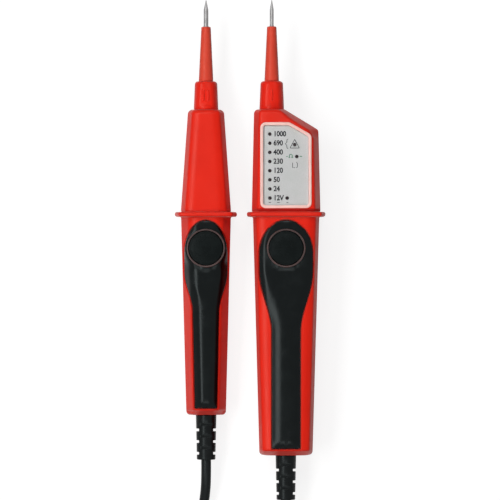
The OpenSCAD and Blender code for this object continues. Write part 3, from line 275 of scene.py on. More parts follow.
def coil(t):
    """Points after t turns: the radius shrinks by a pitch a turn. Then the line climbs a layer on half a
    cosine wave, while the radius turns back, and the radius grows again."""
    inner = COIL_R - COIL_PITCH * COIL_TURNS
    past = t - COIL_TURNS
    radius = np.select(
        [past <= 0, past <= CLIMB / 2], [COIL_R - COIL_PITCH * t, inner - COIL_PITCH * past],
        inner + COIL_PITCH * (past - CLIMB),
    )
    a, high = -2 * np.pi * t, COIL_LOW + COIL_RISE * ease(past / CLIMB)
    return np.stack([COIL_X + radius * np.cos(a), COIL_Y + radius * np.sin(a), high], -1)


def through(points, steps=5):
    """A smooth line through the points: each span is a cubic whose slopes are half the way past it."""
    slope = np.gradient(points, axis=0)
    t = (np.arange(steps) / steps)[None, :, None]
    a, b, u, v = points[:-1, None], points[1:, None], slope[:-1, None], slope[1:, None]
    line = (a * (2 * t**3 - 3 * t**2 + 1) + b * (3 * t**2 - 2 * t**3)
            + u * (t**3 - 2 * t**2 + t) + v * (t**3 - t**2))
    return np.concatenate([line.reshape(-1, 3), points[-1:]])


def coil_line():
    """The coil as an array of points."""
    turns = 2 * COIL_TURNS + CLIMB
    return coil(np.linspace(0, turns, int(turns * COIL_STEPS) + 1))


lead_line = np.concatenate([
    through(display_route)[:-1], coil_line()[1:-1], through(second_route)[::-1][1:],
])

# %% [markdown]
# The cable's jacket is a plain round tube. A Blender curve with a bevel would do as well, and would then
# have to be turned into a mesh. Here a circle stands across the line at each point, and stays level, so
# that no face twists.

# %% The lead as a tube
LEAD_SIDES = 20


def tube_rings(line, radius, sides):
    """A circle across the line at each point, kept level: its first spoke is horizontal."""
    along = unit(np.gradient(line, axis=0))
    across = unit(np.cross(along, [0, 0, 1]))
    up = np.cross(across, along)
    a = (np.arange(sides) + 0.5) * 2 * np.pi / sides
    spokes = across[:, None] * np.cos(a)[:, None] + up[:, None] * np.sin(a)[:, None]
    return line[:, None] + radius * spokes


lead = loft("lead", tube_rings(lead_line, LEAD_D / 2, LEAD_SIDES))
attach(lead, "tester")
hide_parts("lead_run_display", "lead_run_second", "lead_coil")
print("lead tube:", len(lead.data.polygons), "faces")

# %% [markdown]
# Both handles follow one plan with their own sizes, which are the CAD model's. They could be two hand-made
# models, but one table of sizes for each keeps them alike in kind and lets every function below serve both.
# Places along a handle are measured from the middle of its finger guard, positive towards the pin, and
# heights from the table.

# %% Sizes of the handles
GUARD_Y = 18.5
WALL, GAP, FIT = 2.5, 0.1, 0.06
display = SimpleNamespace(
    name="display", body="display_push_button", x=18.7, axis_z=20.0, marks=1,
    # The head from guard to nose, the grip from guard to tail, and the guard.
    head_len=54.5, head_w=35.6, head_h=34.7, head_top_w=33.2, head_top_h=24.0,
    grip_len=125.3, grip_w=34.4, grip_h=34.2, tail_w=27.6, tail_h=28.0, guard_w=40.6, guard_h=40.0,
    # Heights of the corners, their flanks and lips as shares, and the fall of the faces at both ends.
    head_round=8.0, grip_round=7.0, guard_round=8.0,
    head_corner=(0.375, 0.06), grip_corner=(0.26, 0.22), foot_drop=3.0, tail_drop=7.0,
    # The grip inlay.
    inlay_w=27.6, inlay_waist=14.6, inlay_tail=14.6, inlay_neck=29.0, inlay_neck_len=32.2,
    inlay_end=3.8, pad_end=-51.0,
    # The pin, the case screws and what they hold.
    pin_x=-7.4, pin_d=2.0, head_boss=(8.6, -4.0), tail_boss=(8.6, 7.8), screw_len=14.0,
    board_low=17.8, rib_y=(-53.5, 34.0),
)
second = SimpleNamespace(
    name="second", body="second_push_button", x=-22.9, axis_z=16.7, marks=2,
    head_len=54.5, head_w=26.2, head_h=27.2, head_top_w=18.6, head_top_h=19.0,
    grip_len=104.5, grip_w=25.9, grip_h=27.0, tail_w=20.6, tail_h=22.0, guard_w=32.2, guard_h=33.4,
    head_round=7.0, grip_round=9.0, guard_round=9.0,
    head_corner=(0.33, 0.19), grip_corner=(0.42, 0.2), foot_drop=0.0, tail_drop=6.4,
    inlay_w=22.4, inlay_waist=13.5, inlay_tail=11.5, inlay_neck=30.0, inlay_neck_len=20.8,
    inlay_end=3.8, pad_end=-45.5,
    pin_x=0.0, pin_d=2.4, head_boss=(5.1, 44.0), tail_boss=(5.9, 12.0), screw_len=10.0,
    board_low=14.5, rib_y=(-56.0, 34.0),
)
handles = (display, second)
for h in handles:
    h.place = np.array([h.x, GUARD_Y, 0.0])
    h.tail_z = h.tail_h / 2
    low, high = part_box(h.name + "_front_shell")
    print(h.name, "front shell in CAD, mm:", [round(v / MM, 1) for v in (*low, *high)])

# %% [markdown]
# A handle is widest at its guard and tapers evenly to the nose and to the tail. Its outline could be drawn
# by hand over the photograph, but straight blends between a few sizes are easier to read and to change.
# Each function gives one width or height for whole arrays of places. The display handle's right side is
# also cut by a sloping shoulder near the nose, which runs down to the collar's foot.

# %% Faces of a handle
FOOT_D, LEDGE, SHOULDER_FOOT = 12.8, 0.2, 43.8


def half_w(h, y):
    """Half the width at y."""
    head, grip = mix(h.head_w, h.head_top_w, y / h.head_len), mix(h.grip_w, h.tail_w, -y / h.grip_len)
    return np.where(y >= 0, head, grip) / 2


def top_z(h, y):
    """Height of the front face's middle at y."""
    head = h.axis_z + mix(h.head_h, h.head_top_h, y / h.head_len) / 2
    return np.where(y >= 0, head, mix(h.axis_z + h.grip_h / 2, h.tail_h, -y / h.grip_len))


def bottom_z(h, y):
    """Height of the back face's middle at y."""
    head = h.axis_z - mix(h.head_h, h.head_top_h, y / h.head_len) / 2
    return np.where(y >= 0, head, mix(h.axis_z - h.grip_h / 2, 0, -y / h.grip_len))


def part_z(h, y):
    """Height of the line where the two shells meet."""
    return (top_z(h, y) + bottom_z(h, y)) / 2


shoulder_start = display.pin_x + FOOT_D / 2 + LEDGE
shoulder_run = (half_w(display, SHOULDER_FOOT) - shoulder_start) / (display.head_len - SHOULDER_FOOT)
print("widths at the guard, mm:", [round(2 * float(half_w(h, 0.0)), 1) for h in handles])

# %% [markdown]
# A housing's corners aren't quarter circles: a moulding has steep drafted flanks, so that it leaves its
# mould, and a soft lip where each flank turns into the crowned face. A bevelled box would give flat facets
# with hard lines between them. Here each corner is one curve from two formulas, and the same curve lets the
# faces fall at the tail and towards the guard. A section is a row of eight numbers, so many sections are
# one array.

# %% Corners and sections
LEAST = 0.3
LIP_SOFT, LIP_ONSET, LIP_FULL = 0.6, 2, 4
GUARD_CORNER = (0.25, 0.08)
FOOT_Y, FOOT_RUN, FOOT_CORNER = 1.75, 1.45, (0.75, 0.05)
TAIL_RUN, TAIL_CORNER = 3.8, (0.7, 0.06)


def rounded(left, right, low, high, r, reach, flank, lip):
    """The numbers of a section: its four sides, the height of its corners, the width of its right corners,
    and the shares of the corners' width and height that their steep flank and their soft lip take up."""
    r = np.clip(r, LEAST, np.minimum(right - left, high - low) / 2 - LEAST)
    reach = np.clip(reach, r, right - left - r - LEAST)
    return np.stack(np.broadcast_arrays(left, right, low, high, r, reach, flank, lip), -1)


def corner_drop(share, r, flank, lip):
    """How far a corner of height r lies under the face: share runs from 0 at the side to 1 at the face. The
    larger of a steep straight flank and a parabola that meets the face level, with a small round between."""
    steep = r * (1 - (1 - lip) * share / flank)
    crown = r * lip * ((1 - share) / (1 - flank)) ** 2
    onset = np.clip(LIP_ONSET * share / flank, 0, 1)
    return smooth_max(steep, crown, LIP_SOFT * (1 - share) * onset * np.minimum(r, LIP_FULL) / LIP_FULL)


def end_drop(h, y):
    """How far both faces fall at y: to the guard's foot on the head, and to the end of the tail."""
    foot = corner_drop(np.clip((y - FOOT_Y) / FOOT_RUN, 0, 1), h.foot_drop, *FOOT_CORNER)
    tail = corner_drop(np.clip((y + h.grip_len) / TAIL_RUN, 0, 1), h.tail_drop, *TAIL_CORNER)
    return np.where(y >= 0, foot, tail)


def section(h, y, grow=0.0, inset=0.0, soft=0.0):
    """Sections at y, swollen by grow, drawn in by inset, and with the shoulder's corner softened by soft."""
    y = np.asarray(y, float)
    fall = inset - grow + end_drop(h, y)
    side = half_w(h, y) + grow - inset
    r = np.where(y >= 0, h.head_round, h.grip_round) + grow - inset
    flank, lip = (np.where(y >= 0, *pair) for pair in zip(h.head_corner, h.grip_corner))
    right, reach = side, r
    if h is display:
        lean = math.hypot(1, shoulder_run)
        slope = shoulder_start + (h.head_len - y) * shoulder_run - inset * lean
        right = (side + slope - np.sqrt((side - slope) ** 2 + soft**2)) / 2
        reach = right - slope + r * lean
    return rounded(-side, right, bottom_z(h, y) + fall, top_z(h, y) - fall, r, reach, flank, lip)


def guard_section(h, inset):
    """Sections of the finger guard, drawn in by inset."""
    w, t = h.guard_w / 2 - inset, h.guard_h / 2 - inset
    return rounded(-w, w, h.axis_z - t, h.axis_z + t, h.guard_round - inset, 0.0, *GUARD_CORNER)


def face_drop(h, x, y):
    """Height of the faces' middles at y, and how far both have dropped at (x, y)."""
    left, right, low, high, r, reach, flank, lip = np.moveaxis(section(h, y), -1, 0)
    share = np.clip(np.minimum((right - x) / reach, (x - left) / r), 0, 1)
    return low, high, corner_drop(share, r, flank, lip)


def front_z(h, x, y):
    """Height of the front face over (x, y)."""
    low, high, drop = face_drop(h, x, y)
    return high - drop


def back_z(h, x, y):
    """Height of the back face over (x, y)."""
    low, high, drop = face_drop(h, x, y)
    return low + drop


print("front faces 40 mm down the grips, mm:", [round(float(front_z(h, 0.0, -40.0)), 1) for h in handles])

# %% [markdown]
# The housing is two moulded shells that meet along the handle's middle. It could be a box with bevels and
# loop cuts, shaped by hand with subdivision. It is lofted instead, so that every width stays a number: at
# each place along the handle half a section is drawn as one open line from the right parting edge over the
# face to the left one. All these lines have the same number of points, so the loft flows from head to guard
# to grip.

# %% Half outlines
PART_EDGE = 0.22


def crowded(count):
    """Shares between 0 and 1, closer to each other near both ends, as half a cosine wave has them."""
    return (1 - np.cos(np.linspace(0, np.pi, count)[1:-1])) / 2


def quarter(count):
    """Angles over a quarter turn."""
    return np.radians(np.linspace(0, 90, count))


side_shares, face_shares = crowded(8), crowded(26)
edge_angles, corner_angles = quarter(4), quarter(19)


def half_outline(sections, base, front=True):
    """Half sections from the right parting edge over the face to the left one, as (x, z) for each station."""
    left, right, low, high, r, reach, flank, lip = (sections[:, k:k + 1] for k in range(8))
    base = base[:, None]
    rise = high - base if front else base - low

    def half(edge, way, wide):
        x = [edge - way * PART_EDGE * (1 - np.sin(edge_angles)), edge + 0 * side_shares,
             edge - way * wide * (1 - np.cos(corner_angles))]
        t = [PART_EDGE * (1 - np.cos(edge_angles)) + 0 * r, mix(PART_EDGE, rise - r, side_shares),
             rise - corner_drop(1 - np.cos(corner_angles), r, flank, lip)]
        return np.concatenate(x, 1), np.concatenate(t, 1)

    (x1, t1), (x2, t2) = half(right, 1, reach), half(left, -1, r)
    x = np.concatenate([x1, mix(right - reach, left + r, face_shares), x2[:, ::-1]], 1)
    t = np.concatenate([t1, rise + 0 * face_shares, t2[:, ::-1]], 1)
    return np.stack([x, base + t if front else base - t], -1)


middle = half_outline(section(display, [-40.0]), part_z(display, np.array([-40.0])))
print("points of half an outline:", middle.shape[1])

# %% [markdown]
# A loft is only as good as its stations, the places at which a section is drawn. Evenly spaced ones would
# need to be very many to hold the small rounds. So they lie close where the surface turns: at both ends, in
# the guard's fillet, in the narrow groove between guard and head, round the guard's rim, and at the display
# handle's shoulder. Over the long plain stretches they are even.

# %% Stations along a housing
GUARD_T, GUARD_EDGE, FILLET, DRAFT = 2.4, 1.05, 0.7, 0.1
ROOT = GUARD_T / 2 + DRAFT
GROOVE, GROOVE_W = 0.35, FOOT_Y - ROOT
FACE_SHARES = np.array([0.04, 0.3, 0.7, 0.96])
NOSE_ROUND, TAIL_ROUND = 2.3, 2.0
TAIL_STATIONS, GRIP_STATIONS, FOOT_STATIONS, HEAD_STATIONS, SHOULDER_STATIONS = 7, 60, 8, 26, 25
TAIL_STEP, GRIP_STEP, END_STEP, FOOT_STEP, HEAD_STEP = 0.25, 0.4, 0.3, 0.2, 0.5
SHOULDER_LOW, SHOULDER_HIGH, SHOULDER_SOFT = 5, 3, 0.8


def guard_stations(h):
    """Stations of the guard: a quarter-round fillet on the grip's side and a groove, a sine wave deep, on the
    head's side. On each side the drafted face and the quarter-round rim follow, up to the guard's middle."""
    a = quarter(6)
    out = []
    for way, wide, rise in ((-1, FILLET, FILLET * (1 - np.cos(a))), (1, GROOVE_W, -GROOVE * np.sin(2 * a))):
        y_foot = way * (ROOT + wide * (1 - np.sin(a)))
        foot = section(h, way * ROOT + 0 * a, rise)
        rim = guard_section(h, GUARD_EDGE * (1 - np.sin(a)))
        y_rim = way * (GUARD_T / 2 - GUARD_EDGE * (1 - np.cos(a)))
        y_face = mix(way * ROOT, way * GUARD_T / 2, FACE_SHARES)
        face = mix(foot[-1], rim[0], FACE_SHARES[:, None])
        out.append((np.concatenate([y_foot, y_face, y_rim]), np.concatenate([foot, face, rim])))
    (grip_y, grip_rows), (head_y, head_rows) = out
    return np.concatenate([grip_y, head_y[::-1]]), np.concatenate([grip_rows, head_rows[::-1]])


def outer_stations(h):
    """All stations of a housing's outside, from tail to nose. Both ends are quarter rounds."""
    a = quarter(8)
    tail_run = np.linspace(TAIL_ROUND + TAIL_STEP, TAIL_RUN, TAIL_STATIONS)
    tail_d = np.concatenate([TAIL_ROUND * (1 - np.cos(a)), tail_run])
    tail = section(h, tail_d - h.grip_len)
    drawn_in = TAIL_ROUND - np.sqrt(TAIL_ROUND**2 - np.clip(TAIL_ROUND - tail_d, 0, None) ** 2)
    tail[:, :2] += drawn_in[:, None] * (1, -1)
    nose_y = h.head_len - NOSE_ROUND * (1 - np.cos(a))
    nose = section(h, nose_y, NOSE_ROUND * (np.sin(a) - 1))
    grip_y = np.linspace(TAIL_RUN + GRIP_STEP - h.grip_len, -ROOT - FILLET - END_STEP, GRIP_STATIONS)
    foot_end = FOOT_Y + FOOT_RUN
    foot_y = np.linspace(FOOT_Y + FOOT_STEP, foot_end, FOOT_STATIONS)
    head_y = np.linspace(foot_end + HEAD_STEP, nose_y[-1] - END_STEP, HEAD_STATIONS)
    head_y = np.concatenate([foot_y, head_y])
    if h is display:
        bend_y = np.linspace(SHOULDER_FOOT - SHOULDER_LOW, SHOULDER_FOOT + SHOULDER_HIGH, SHOULDER_STATIONS)
        head_y = np.union1d(head_y, bend_y)
    guard_y, guard_rows = guard_stations(h)
    ys = [tail_d - h.grip_len, grip_y, guard_y, head_y, nose_y[::-1]]
    head = section(h, head_y, soft=SHOULDER_SOFT)
    return np.concatenate(ys), np.concatenate([tail, section(h, grip_y), guard_rows, head, nose[::-1]])


print("stations from tail to nose:", {h.name: len(outer_stations(h)[0]) for h in handles})

# %% [markdown]
# A shell is hollow, with walls of the same thickness all over. The solidify modifier would make them, but
# it thickens small rounds badly. So the cavity is a loft of its own, with every section drawn in by the
# wall, and is cut out of the outer one. It reaches a little past the parting line, so that the shell is
# open there.

# %% Lofted shells
CAVITY_OVER, CAVITY_STATIONS = 1.0, (30, 20)


def lofted(name, h, ys, sections, base, front):
    """A solid through half sections, closed along the parting line at height base."""
    line = half_outline(sections, base, front)
    rings = np.stack([line[..., 0], np.broadcast_to(ys[:, None], line.shape[:2]), line[..., 1]], -1)
    return loft(name, rings, h.place)


def housing_half(h, front):
    """One shell: the outer solid without its cavity, which is the same loft drawn in by the wall."""
    ys, rows = outer_stations(h)
    name = h.name + ("_front_housing" if front else "_rear_housing")
    shell = lofted(name, h, ys, rows, part_z(h, ys), front)
    grip_count, head_count = CAVITY_STATIONS
    ys = np.concatenate([np.linspace(WALL - h.grip_len, -GUARD_T / 2, grip_count),
                         np.linspace(GUARD_T / 2, h.head_len - WALL, head_count)])
    over = -CAVITY_OVER if front else CAVITY_OVER
    cavity = lofted("cavity", h, ys, section(h, ys, inset=WALL), part_z(h, ys) + over, front)
    return carve(shell, cavity)


print("walls are", WALL, "mm thick")

# %% [markdown]
# The grip inlay is a soft sheet, moulded into a recess of the front face. Its outline is an elliptic arch
# over the button, a smooth waist and a long strip with a square end. It could be cut out of a copy of the
# housing, but then its rim would be as rough as the cut. Here the sheet is filled between its four border
# lines by blending opposite borders, and gets its thickness by levels: each level has its own depth under
# the face and its own distance from the outline, which is how a rounded or a chamfered rim is made. The
# same sheets cut the recess.

# %% Sheets on the face of a handle
INLAY_T, INLAY_TOP, ARCH = 1.2, 3.2, 17.4
ARCH_CORNER = math.radians(52)
BUTTON_Y = -17.5
across = np.linspace(0, 1, 41)
strip_shares = np.concatenate([[0, 0.004], np.linspace(0.03, 1, 26)[:-1]])
neck_shares, side_shares_up = np.linspace(0, 1, 25), np.linspace(0, 1, 6)[1:-1]
arch_angles = np.linspace(0, ARCH_CORNER, 17)[1:]


def inlay_side(h, gap):
    """The right border from the square end up to where the arch's top begins, as (x, y)."""
    low, neck_low = -h.grip_len + h.inlay_end - gap, -h.inlay_neck - h.inlay_neck_len
    arch_y = -INLAY_TOP - ARCH
    wide, waist, tail = h.inlay_w / 2 + gap, h.inlay_waist / 2 + gap, h.inlay_tail / 2 + gap
    x = [mix(tail, waist, strip_shares), mix(waist, wide, ease(neck_shares)), wide + 0 * side_shares_up,
         wide * np.cos(arch_angles)]
    y = [mix(low, neck_low, strip_shares), mix(neck_low, -h.inlay_neck, neck_shares),
         mix(-h.inlay_neck, arch_y, side_shares_up), arch_y + (ARCH + gap) * np.sin(arch_angles)]
    return np.concatenate(x), np.concatenate(y)


def inlay_sheet(h, gap):
    """The inlay's grid in plan: straight rows below, which bend into the arch's top."""
    x, y = inlay_side(h, gap)
    a = np.pi - mix(ARCH_CORNER, np.pi - ARCH_CORNER, across)
    wide, arch_y = h.inlay_w / 2 + gap, -INLAY_TOP - ARCH
    top_x, top_y = wide * np.cos(a), arch_y + (ARCH + gap) * np.sin(a)
    bend = np.clip((y - arch_y) / (y[-1] - arch_y), 0, 1)[:, None]
    chord = mix(-x[-1], x[-1], across)
    return mix(-x[:, None], x[:, None], across) + bend * (top_x - chord), y[:, None] + bend * (top_y - y[-1])


def border(grid):
    """The border points of a grid, once round."""
    return np.concatenate([grid[0, :-1], grid[:-1, -1], grid[-1, :0:-1], grid[:0:-1, 0]])


def pillow(name, sheet, levels, place):
    """A closed body from levels (gap, depth): the first and last are whole sheets, the others borders."""
    grids = [sheet(*level) for level in levels]
    rows, cols, _ = grids[0].shape
    size, count = rows * cols, 2 * (rows + cols) - 4
    points = [grids[0].reshape(-1, 3)] + [border(g) for g in grids[1:-1]] + [grids[-1].reshape(-1, 3)]
    numbers = border(np.arange(size).reshape(rows, cols))
    rims = [numbers] + [size + k * count + np.arange(count) for k in range(len(levels) - 2)]
    rims.append(size + (len(levels) - 2) * count + numbers)
    walls = [np.stack([a, np.roll(a, -1), np.roll(b, -1), b], -1) for a, b in zip(rims, rims[1:])]
    quads = grid_quads(rows, cols)
    faces = np.concatenate([quads, *walls, quads + size + (len(levels) - 2) * count])
    return solid(name, np.concatenate(points), faces.tolist(), place)


def on_front(h, sheet):
    """Turns a plan sheet into one that lies a given depth under the front face."""
    def placed(gap, depth):
        x, y = sheet(h, gap)
        return np.stack([x, y, front_z(h, x, y) - depth], -1)
    return placed


print("points of an inlay's sheet:", [inlay_sheet(h, 0.0)[0].size for h in handles])

# %% [markdown]
# The strip is crowned like a bar, and a flat pad for the finger is cut into it round the button. The pad
# runs out further down in a curve, where its plane rises through the crown. Sculpting would give that curve
# by feel. As numbers it is the smaller of two heights, taken with a soft corner, so it follows by itself
# from the crown and the plane. Round the button the grip also has a level land, which stands proud of the
# rounded front face at both sides: the larger of two heights, again with a soft corner.

# %% Grip inlays and their recesses
BUTTON_D, RING_D, BORE_D, TRAVEL = 18.2, 19.9, 18.32, 1.3
CROWN, CROWN_TOP, CROWN_LOW = 1.6, 3.0, 2.5
PAD, PAD_BEND, PAD_SOFT, SKIN = 0.4, -29.0, 0.08, 0.01
LAND_R, LAND_SLOPE, LAND_REACH, LAND_SOFT = RING_D / 2 + 0.75, 1.6, 2.5, 0.35
UPPER = 0.5
for h in handles:
    h.seat_z = float(top_z(h, BUTTON_Y))


def crown(h, x, y):
    """How far the inlay stands out of the front face: a parabola across, which comes down at both ends, and
    nowhere more than the pad's plane, which rises towards the tail."""
    edge = np.abs(x).max(axis=1, keepdims=True)
    ends = np.clip(np.stack([(y.max() - y) / CROWN_TOP, (y - y.min()) / CROWN_LOW]), 0, 1)
    bar = CROWN * (1 - (x / edge) ** 2) * np.prod(1 - (1 - ends) ** 2, axis=0)
    pad = PAD + (CROWN - PAD) * np.clip((PAD_BEND - y) / (PAD_BEND - h.pad_end), 0, None)
    return -smooth_max(-bar, -pad, PAD_SOFT) - SKIN


def inlay_top(h):
    """The inlay's sheets: the front face with the crown on it, raised to the button's land."""
    def placed(gap, depth):
        x, y = inlay_sheet(h, gap)
        face = front_z(h, x, y) - depth
        away = np.hypot(x, y - BUTTON_Y) - LAND_R
        land = h.seat_z + PAD - LAND_SLOPE * np.clip(away, 0, None)
        near = np.clip(1 - away / LAND_REACH, 0, 1)
        rise = np.clip(crown(h, x, y), 0, None)
        level = smooth_max(face + rise, land, LAND_SOFT) - LAND_SOFT / 2
        rise += np.clip(level - face - rise, 0, None) * near
        return np.stack([x, y, face + rise * (depth < UPPER)], -1)
    return placed


inlay_levels = [(-0.34, 0.0), (-0.14, 0.05), (-0.04, 0.14), (0.0, 0.3), (0.0, INLAY_T)]
inlays = {}
for h in handles:
    inlay = pillow(h.name + "_grip_inlay_soft", inlay_top(h), inlay_levels, h.place)
    button = h.place + (0, BUTTON_Y, h.seat_z)
    inlays[h.name] = carve(inlay, rod(RING_D + 2 * FIT, -THROUGH, THROUGH, button, sides=FINE))
    print(h.name, "inlay:", len(inlay.data.polygons), "faces")

# %% [markdown]
# A front shell is the moulding that carries all that is pressed or read: the inlay's recess with a
# chamfered rim, the tube that guides the button, the bosses of the case screws, and the holes for button,
# nose and strain relief. Painting dark lines for the seams would be quicker, but they would vanish at an
# angle. The openings are real and have the CAD's gaps, so the seams shade themselves.

# %% Front shells
SPIGOT_D, NECK_D = 9.2, 8.4
WELL, WELL_WALL, WELL_ROOM, FLANGE_T, FLANGE_REACH = 5.0, 0.9, 0.18, 0.9, 0.6
RECESS_EDGE, RECESS_KNEE, RECESS_OUT = 0.62, 0.05, 3.0
BOSS_D, BOSS_SHY, SCREW_D, SCREW_GRIP, SCREW_HEAD = 5.8, 0.6, 2.5, 6.0, 4.2


def boss_places(h):
    """Where the case screws are, as (x, y)."""
    (x1, y1), (x2, up) = h.head_boss, h.tail_boss
    return [(s * x, y) for s in (-1, 1) for x, y in ((x1, y1), (x2, up - h.grip_len))]


def end_holes(h):
    """Cutters for the collar's spigot at the nose and the strain relief's neck at the tail."""
    nose_at, tail_at = (h.pin_x, h.head_len, h.axis_z), (0, -h.grip_len, h.tail_z)
    nose = rod(SPIGOT_D + 2 * GAP, -WALL - OVER, OVER, h.place + nose_at, TO_PIN)
    tail = rod(NECK_D + 2 * GAP, -WALL - OVER, OVER, h.place + tail_at, TO_LEAD)
    return nose, tail


def recess(h):
    """A cutter for the inlay's recess, wider at the surface by a steep chamfer."""
    levels = [(RECESS_EDGE, -RECESS_OUT), (RECESS_EDGE, 0.0), (GAP, INLAY_T - RECESS_KNEE),
              (GAP, INLAY_T + GAP)]
    return pillow("recess", on_front(h, inlay_sheet), levels, h.place)


fronts = {}
for h in handles:
    shell = carve(housing_half(h, True), recess(h))
    button = h.place + (0, BUTTON_Y, h.seat_z)
    carve(shell, rod(BORE_D + 2 * WELL_WALL, -WELL, -INLAY_T - GAP, button), join=True)
    for x, y in boss_places(h):
        high = float(front_z(h, np.array(abs(x) + BOSS_D / 2), np.array(y))) - BOSS_SHY
        foot = h.place + (x, y, float(part_z(h, y)))
        carve(shell, rod(BOSS_D, float(part_z(h, y)), high, h.place + (x, y, 0)), join=True)
        carve(shell, rod(SCREW_D + 2 * FIT, -OVER, h.screw_len - SCREW_GRIP + GAP, foot))
    chamber = FLANGE_T + TRAVEL + WELL_ROOM
    carve(shell, rod(BORE_D, -THROUGH, THROUGH, button, sides=FINE),
          rod(RING_D + 2 * FIT, -INLAY_T - GAP, THROUGH, button, sides=FINE),
          rod(BORE_D + 2 * FLANGE_REACH + 2 * FIT, -WELL - chamber, -WELL, button), *end_holes(h))
    fronts[h.name] = shell
    print(h.name, "front shell:", len(shell.data.polygons), "faces")

# %% [markdown]
# The display handle's cells lie in a bay behind its grip, shut by a lid. The bay could be a plain box cut
# into the shell, but its lid has to follow the back face. So one sheet in plan, with rounded corners, is
# laid on the back face and serves twice: a little larger as the cutter of the bay's opening, and later as
# the lid itself. Walls at both ends and a boss for the lid's screw are joined to the shell before it is
# opened.

# %% Battery bay
BAY_LOW, BAY_HIGH, BAY_HALF = -103.4, -57.5, 11.2
BAY_WALL, BAY_WALL_HALF, BAY_WALL_LOW, BAY_WALL_TOP = 1.5, 8, 2.2, 12.6
COVER_TAIL, COVER_T, COVER_GAP, COVER_ROUND, COVER_EDGE = 8.4, 2.0, 0.2, 2.0, 0.2
COVER_BOSS_D, COVER_BOSS_TOP, COVER_HOLE, BAY_OUT = 6, 7.1, 11, 2.0
COVER_SCREW_Y = BAY_LOW - 4.2


def slab(x0, x1, y0, y1, z0, z1, place):
    """A plain rectangular block, for ribs and walls inside a housing and as a cutter."""
    x, y = np.array([x0, x1, x1, x0]), np.array([y0, y0, y1, y1])
    rings = np.stack([np.stack([x, y, z + 0 * x], -1) for z in (z0, z1)])
    return loft("slab", rings, place)


def cover_sheet(_, gap):
    """The battery cover's grid in plan. Near its ends the sides draw in by a quarter circle."""
    y = mix(BAY_LOW - COVER_TAIL - gap, BAY_HIGH + gap, np.linspace(0, 1, 61))[:, None]
    x = mix(-1, 1, across) * (BAY_HALF - COVER_GAP + gap)
    ends = np.minimum(y - y.min(), y.max() - y)
    past = np.clip(COVER_ROUND - ends, 0, COVER_ROUND)
    pull = COVER_ROUND - np.sqrt(np.clip(COVER_ROUND**2 - past**2, 0, None))
    return x * (1 - pull / BAY_HALF), y + 0 * x


def on_back(h, sheet, relief=None):
    """Turns a plan sheet into one that lies a given depth over the back face, less a pattern of ridges."""
    def placed(gap, depth):
        x, y = sheet(h, gap)
        z = back_z(h, x, y) + depth
        return np.stack([x, y, z - (relief(x, y) if relief and depth < COVER_EDGE else 0)], -1)
    return placed


def battery_bay(shell):
    """Joins the bay's end walls and the cover screw's boss to the display handle's shell, and opens it."""
    for y in (BAY_HIGH, BAY_LOW - BAY_WALL):
        side = float(half_w(display, y)) - WALL / 2
        low = float(bottom_z(display, y)) + BAY_WALL_LOW
        for block in ((-BAY_WALL_HALF, BAY_WALL_HALF, y, y + BAY_WALL, low, BAY_WALL_TOP),
                      (-side, side, y, y + BAY_WALL, BAY_WALL_TOP - BAY_WALL, BAY_WALL_TOP)):
            carve(shell, slab(*block, display.place), join=True)
    low, at = float(bottom_z(display, COVER_SCREW_Y)), display.place + (0, COVER_SCREW_Y, 0)
    carve(shell, rod(COVER_BOSS_D, low + COVER_T + GAP, low + COVER_T + COVER_BOSS_TOP, at), join=True)
    wide = COVER_GAP + COVER_EDGE
    levels = [(wide, -BAY_OUT), (wide, 0.0), (COVER_GAP, COVER_EDGE), (COVER_GAP, WALL + COVER_GAP)]
    carve(shell, pillow("bay", on_back(display, cover_sheet), levels, display.place))
    carve(shell, rod(SCREW_D + 2 * FIT, 0, COVER_HOLE, at))


print("battery bay:", round(BAY_HIGH - BAY_LOW, 1), "mm long")

# %% [markdown]
# A rear shell closes its handle from below. It carries the ribs under the boards and the counterbored
# bosses of the case screws, and the display handle's also has the battery bay. As nobody sees the inside,
# it could be left solid. But the screws, the cover and the boards of the CAD need their room, so the shell
# is the same loft as the front, with its ribs and bosses joined and its holes cut.

# %% Rear shells
RIB_HALF, RIB_T = 6, 2
rears = {}
for h in handles:
    shell = housing_half(h, False)
    for x, y in boss_places(h):
        low = float(back_z(h, np.array(abs(x) + BOSS_D / 2), np.array(y))) + BOSS_SHY
        carve(shell, rod(BOSS_D, low, float(part_z(h, y)), h.place + (x, y, 0)), join=True)
    for y in h.rib_y:
        low = float(bottom_z(h, y)) + WALL / 2
        rib = slab(-RIB_HALF, RIB_HALF, y - RIB_T / 2, y + RIB_T / 2, low, h.board_low, h.place)
        carve(shell, rib, join=True)
    if h is display:
        battery_bay(shell)
    for x, y in boss_places(h):
        seam, at = float(part_z(h, y)), h.place + (x, y, 0)
        carve(shell, rod(SCREW_HEAD + 2 * GAP, -OVER, seam - SCREW_GRIP, at),
              rod(SCREW_D + 2 * FIT, seam - SCREW_GRIP - OVER, seam + OVER, at))
    rears[h.name] = carve(shell, *end_holes(h))
    print(h.name, "rear shell:", len(shell.data.polygons), "faces")

# %% [markdown]
# The battery cover is a moulded lid that lies flush in the back face, with five ridges for a finger at its
# upper end and one screw. The ridges could be a bump in its material, but they are tall enough to show in
# its outline. So the lid is a sheet that follows the back face, and the ridges are a wave in its height.

# %% Battery cover
RIDGE, RIDGE_PITCH, RIDGE_COUNT, RIDGE_HALF, RIDGE_END, RIDGE_START = 0.35, 2.6, 5, 7.5, 0.6, 5
COVER_HEAD_T, COVER_SEAT = 0.8, 0.85


def finger_ridges(x, y):
    """Five bars across the cover, standing out of the back face: sine squared along it, cut off at both
    sides."""
    t = (BAY_HIGH - RIDGE_START - y) / RIDGE_PITCH
    inside = (t > 0) & (t < RIDGE_COUNT) & (np.abs(x) < RIDGE_HALF)
    ends = np.clip((RIDGE_HALF - np.abs(x)) / RIDGE_END, 0, 1)
    return -RIDGE * np.sin(np.pi * (t % 1)) ** 2 * inside * ends


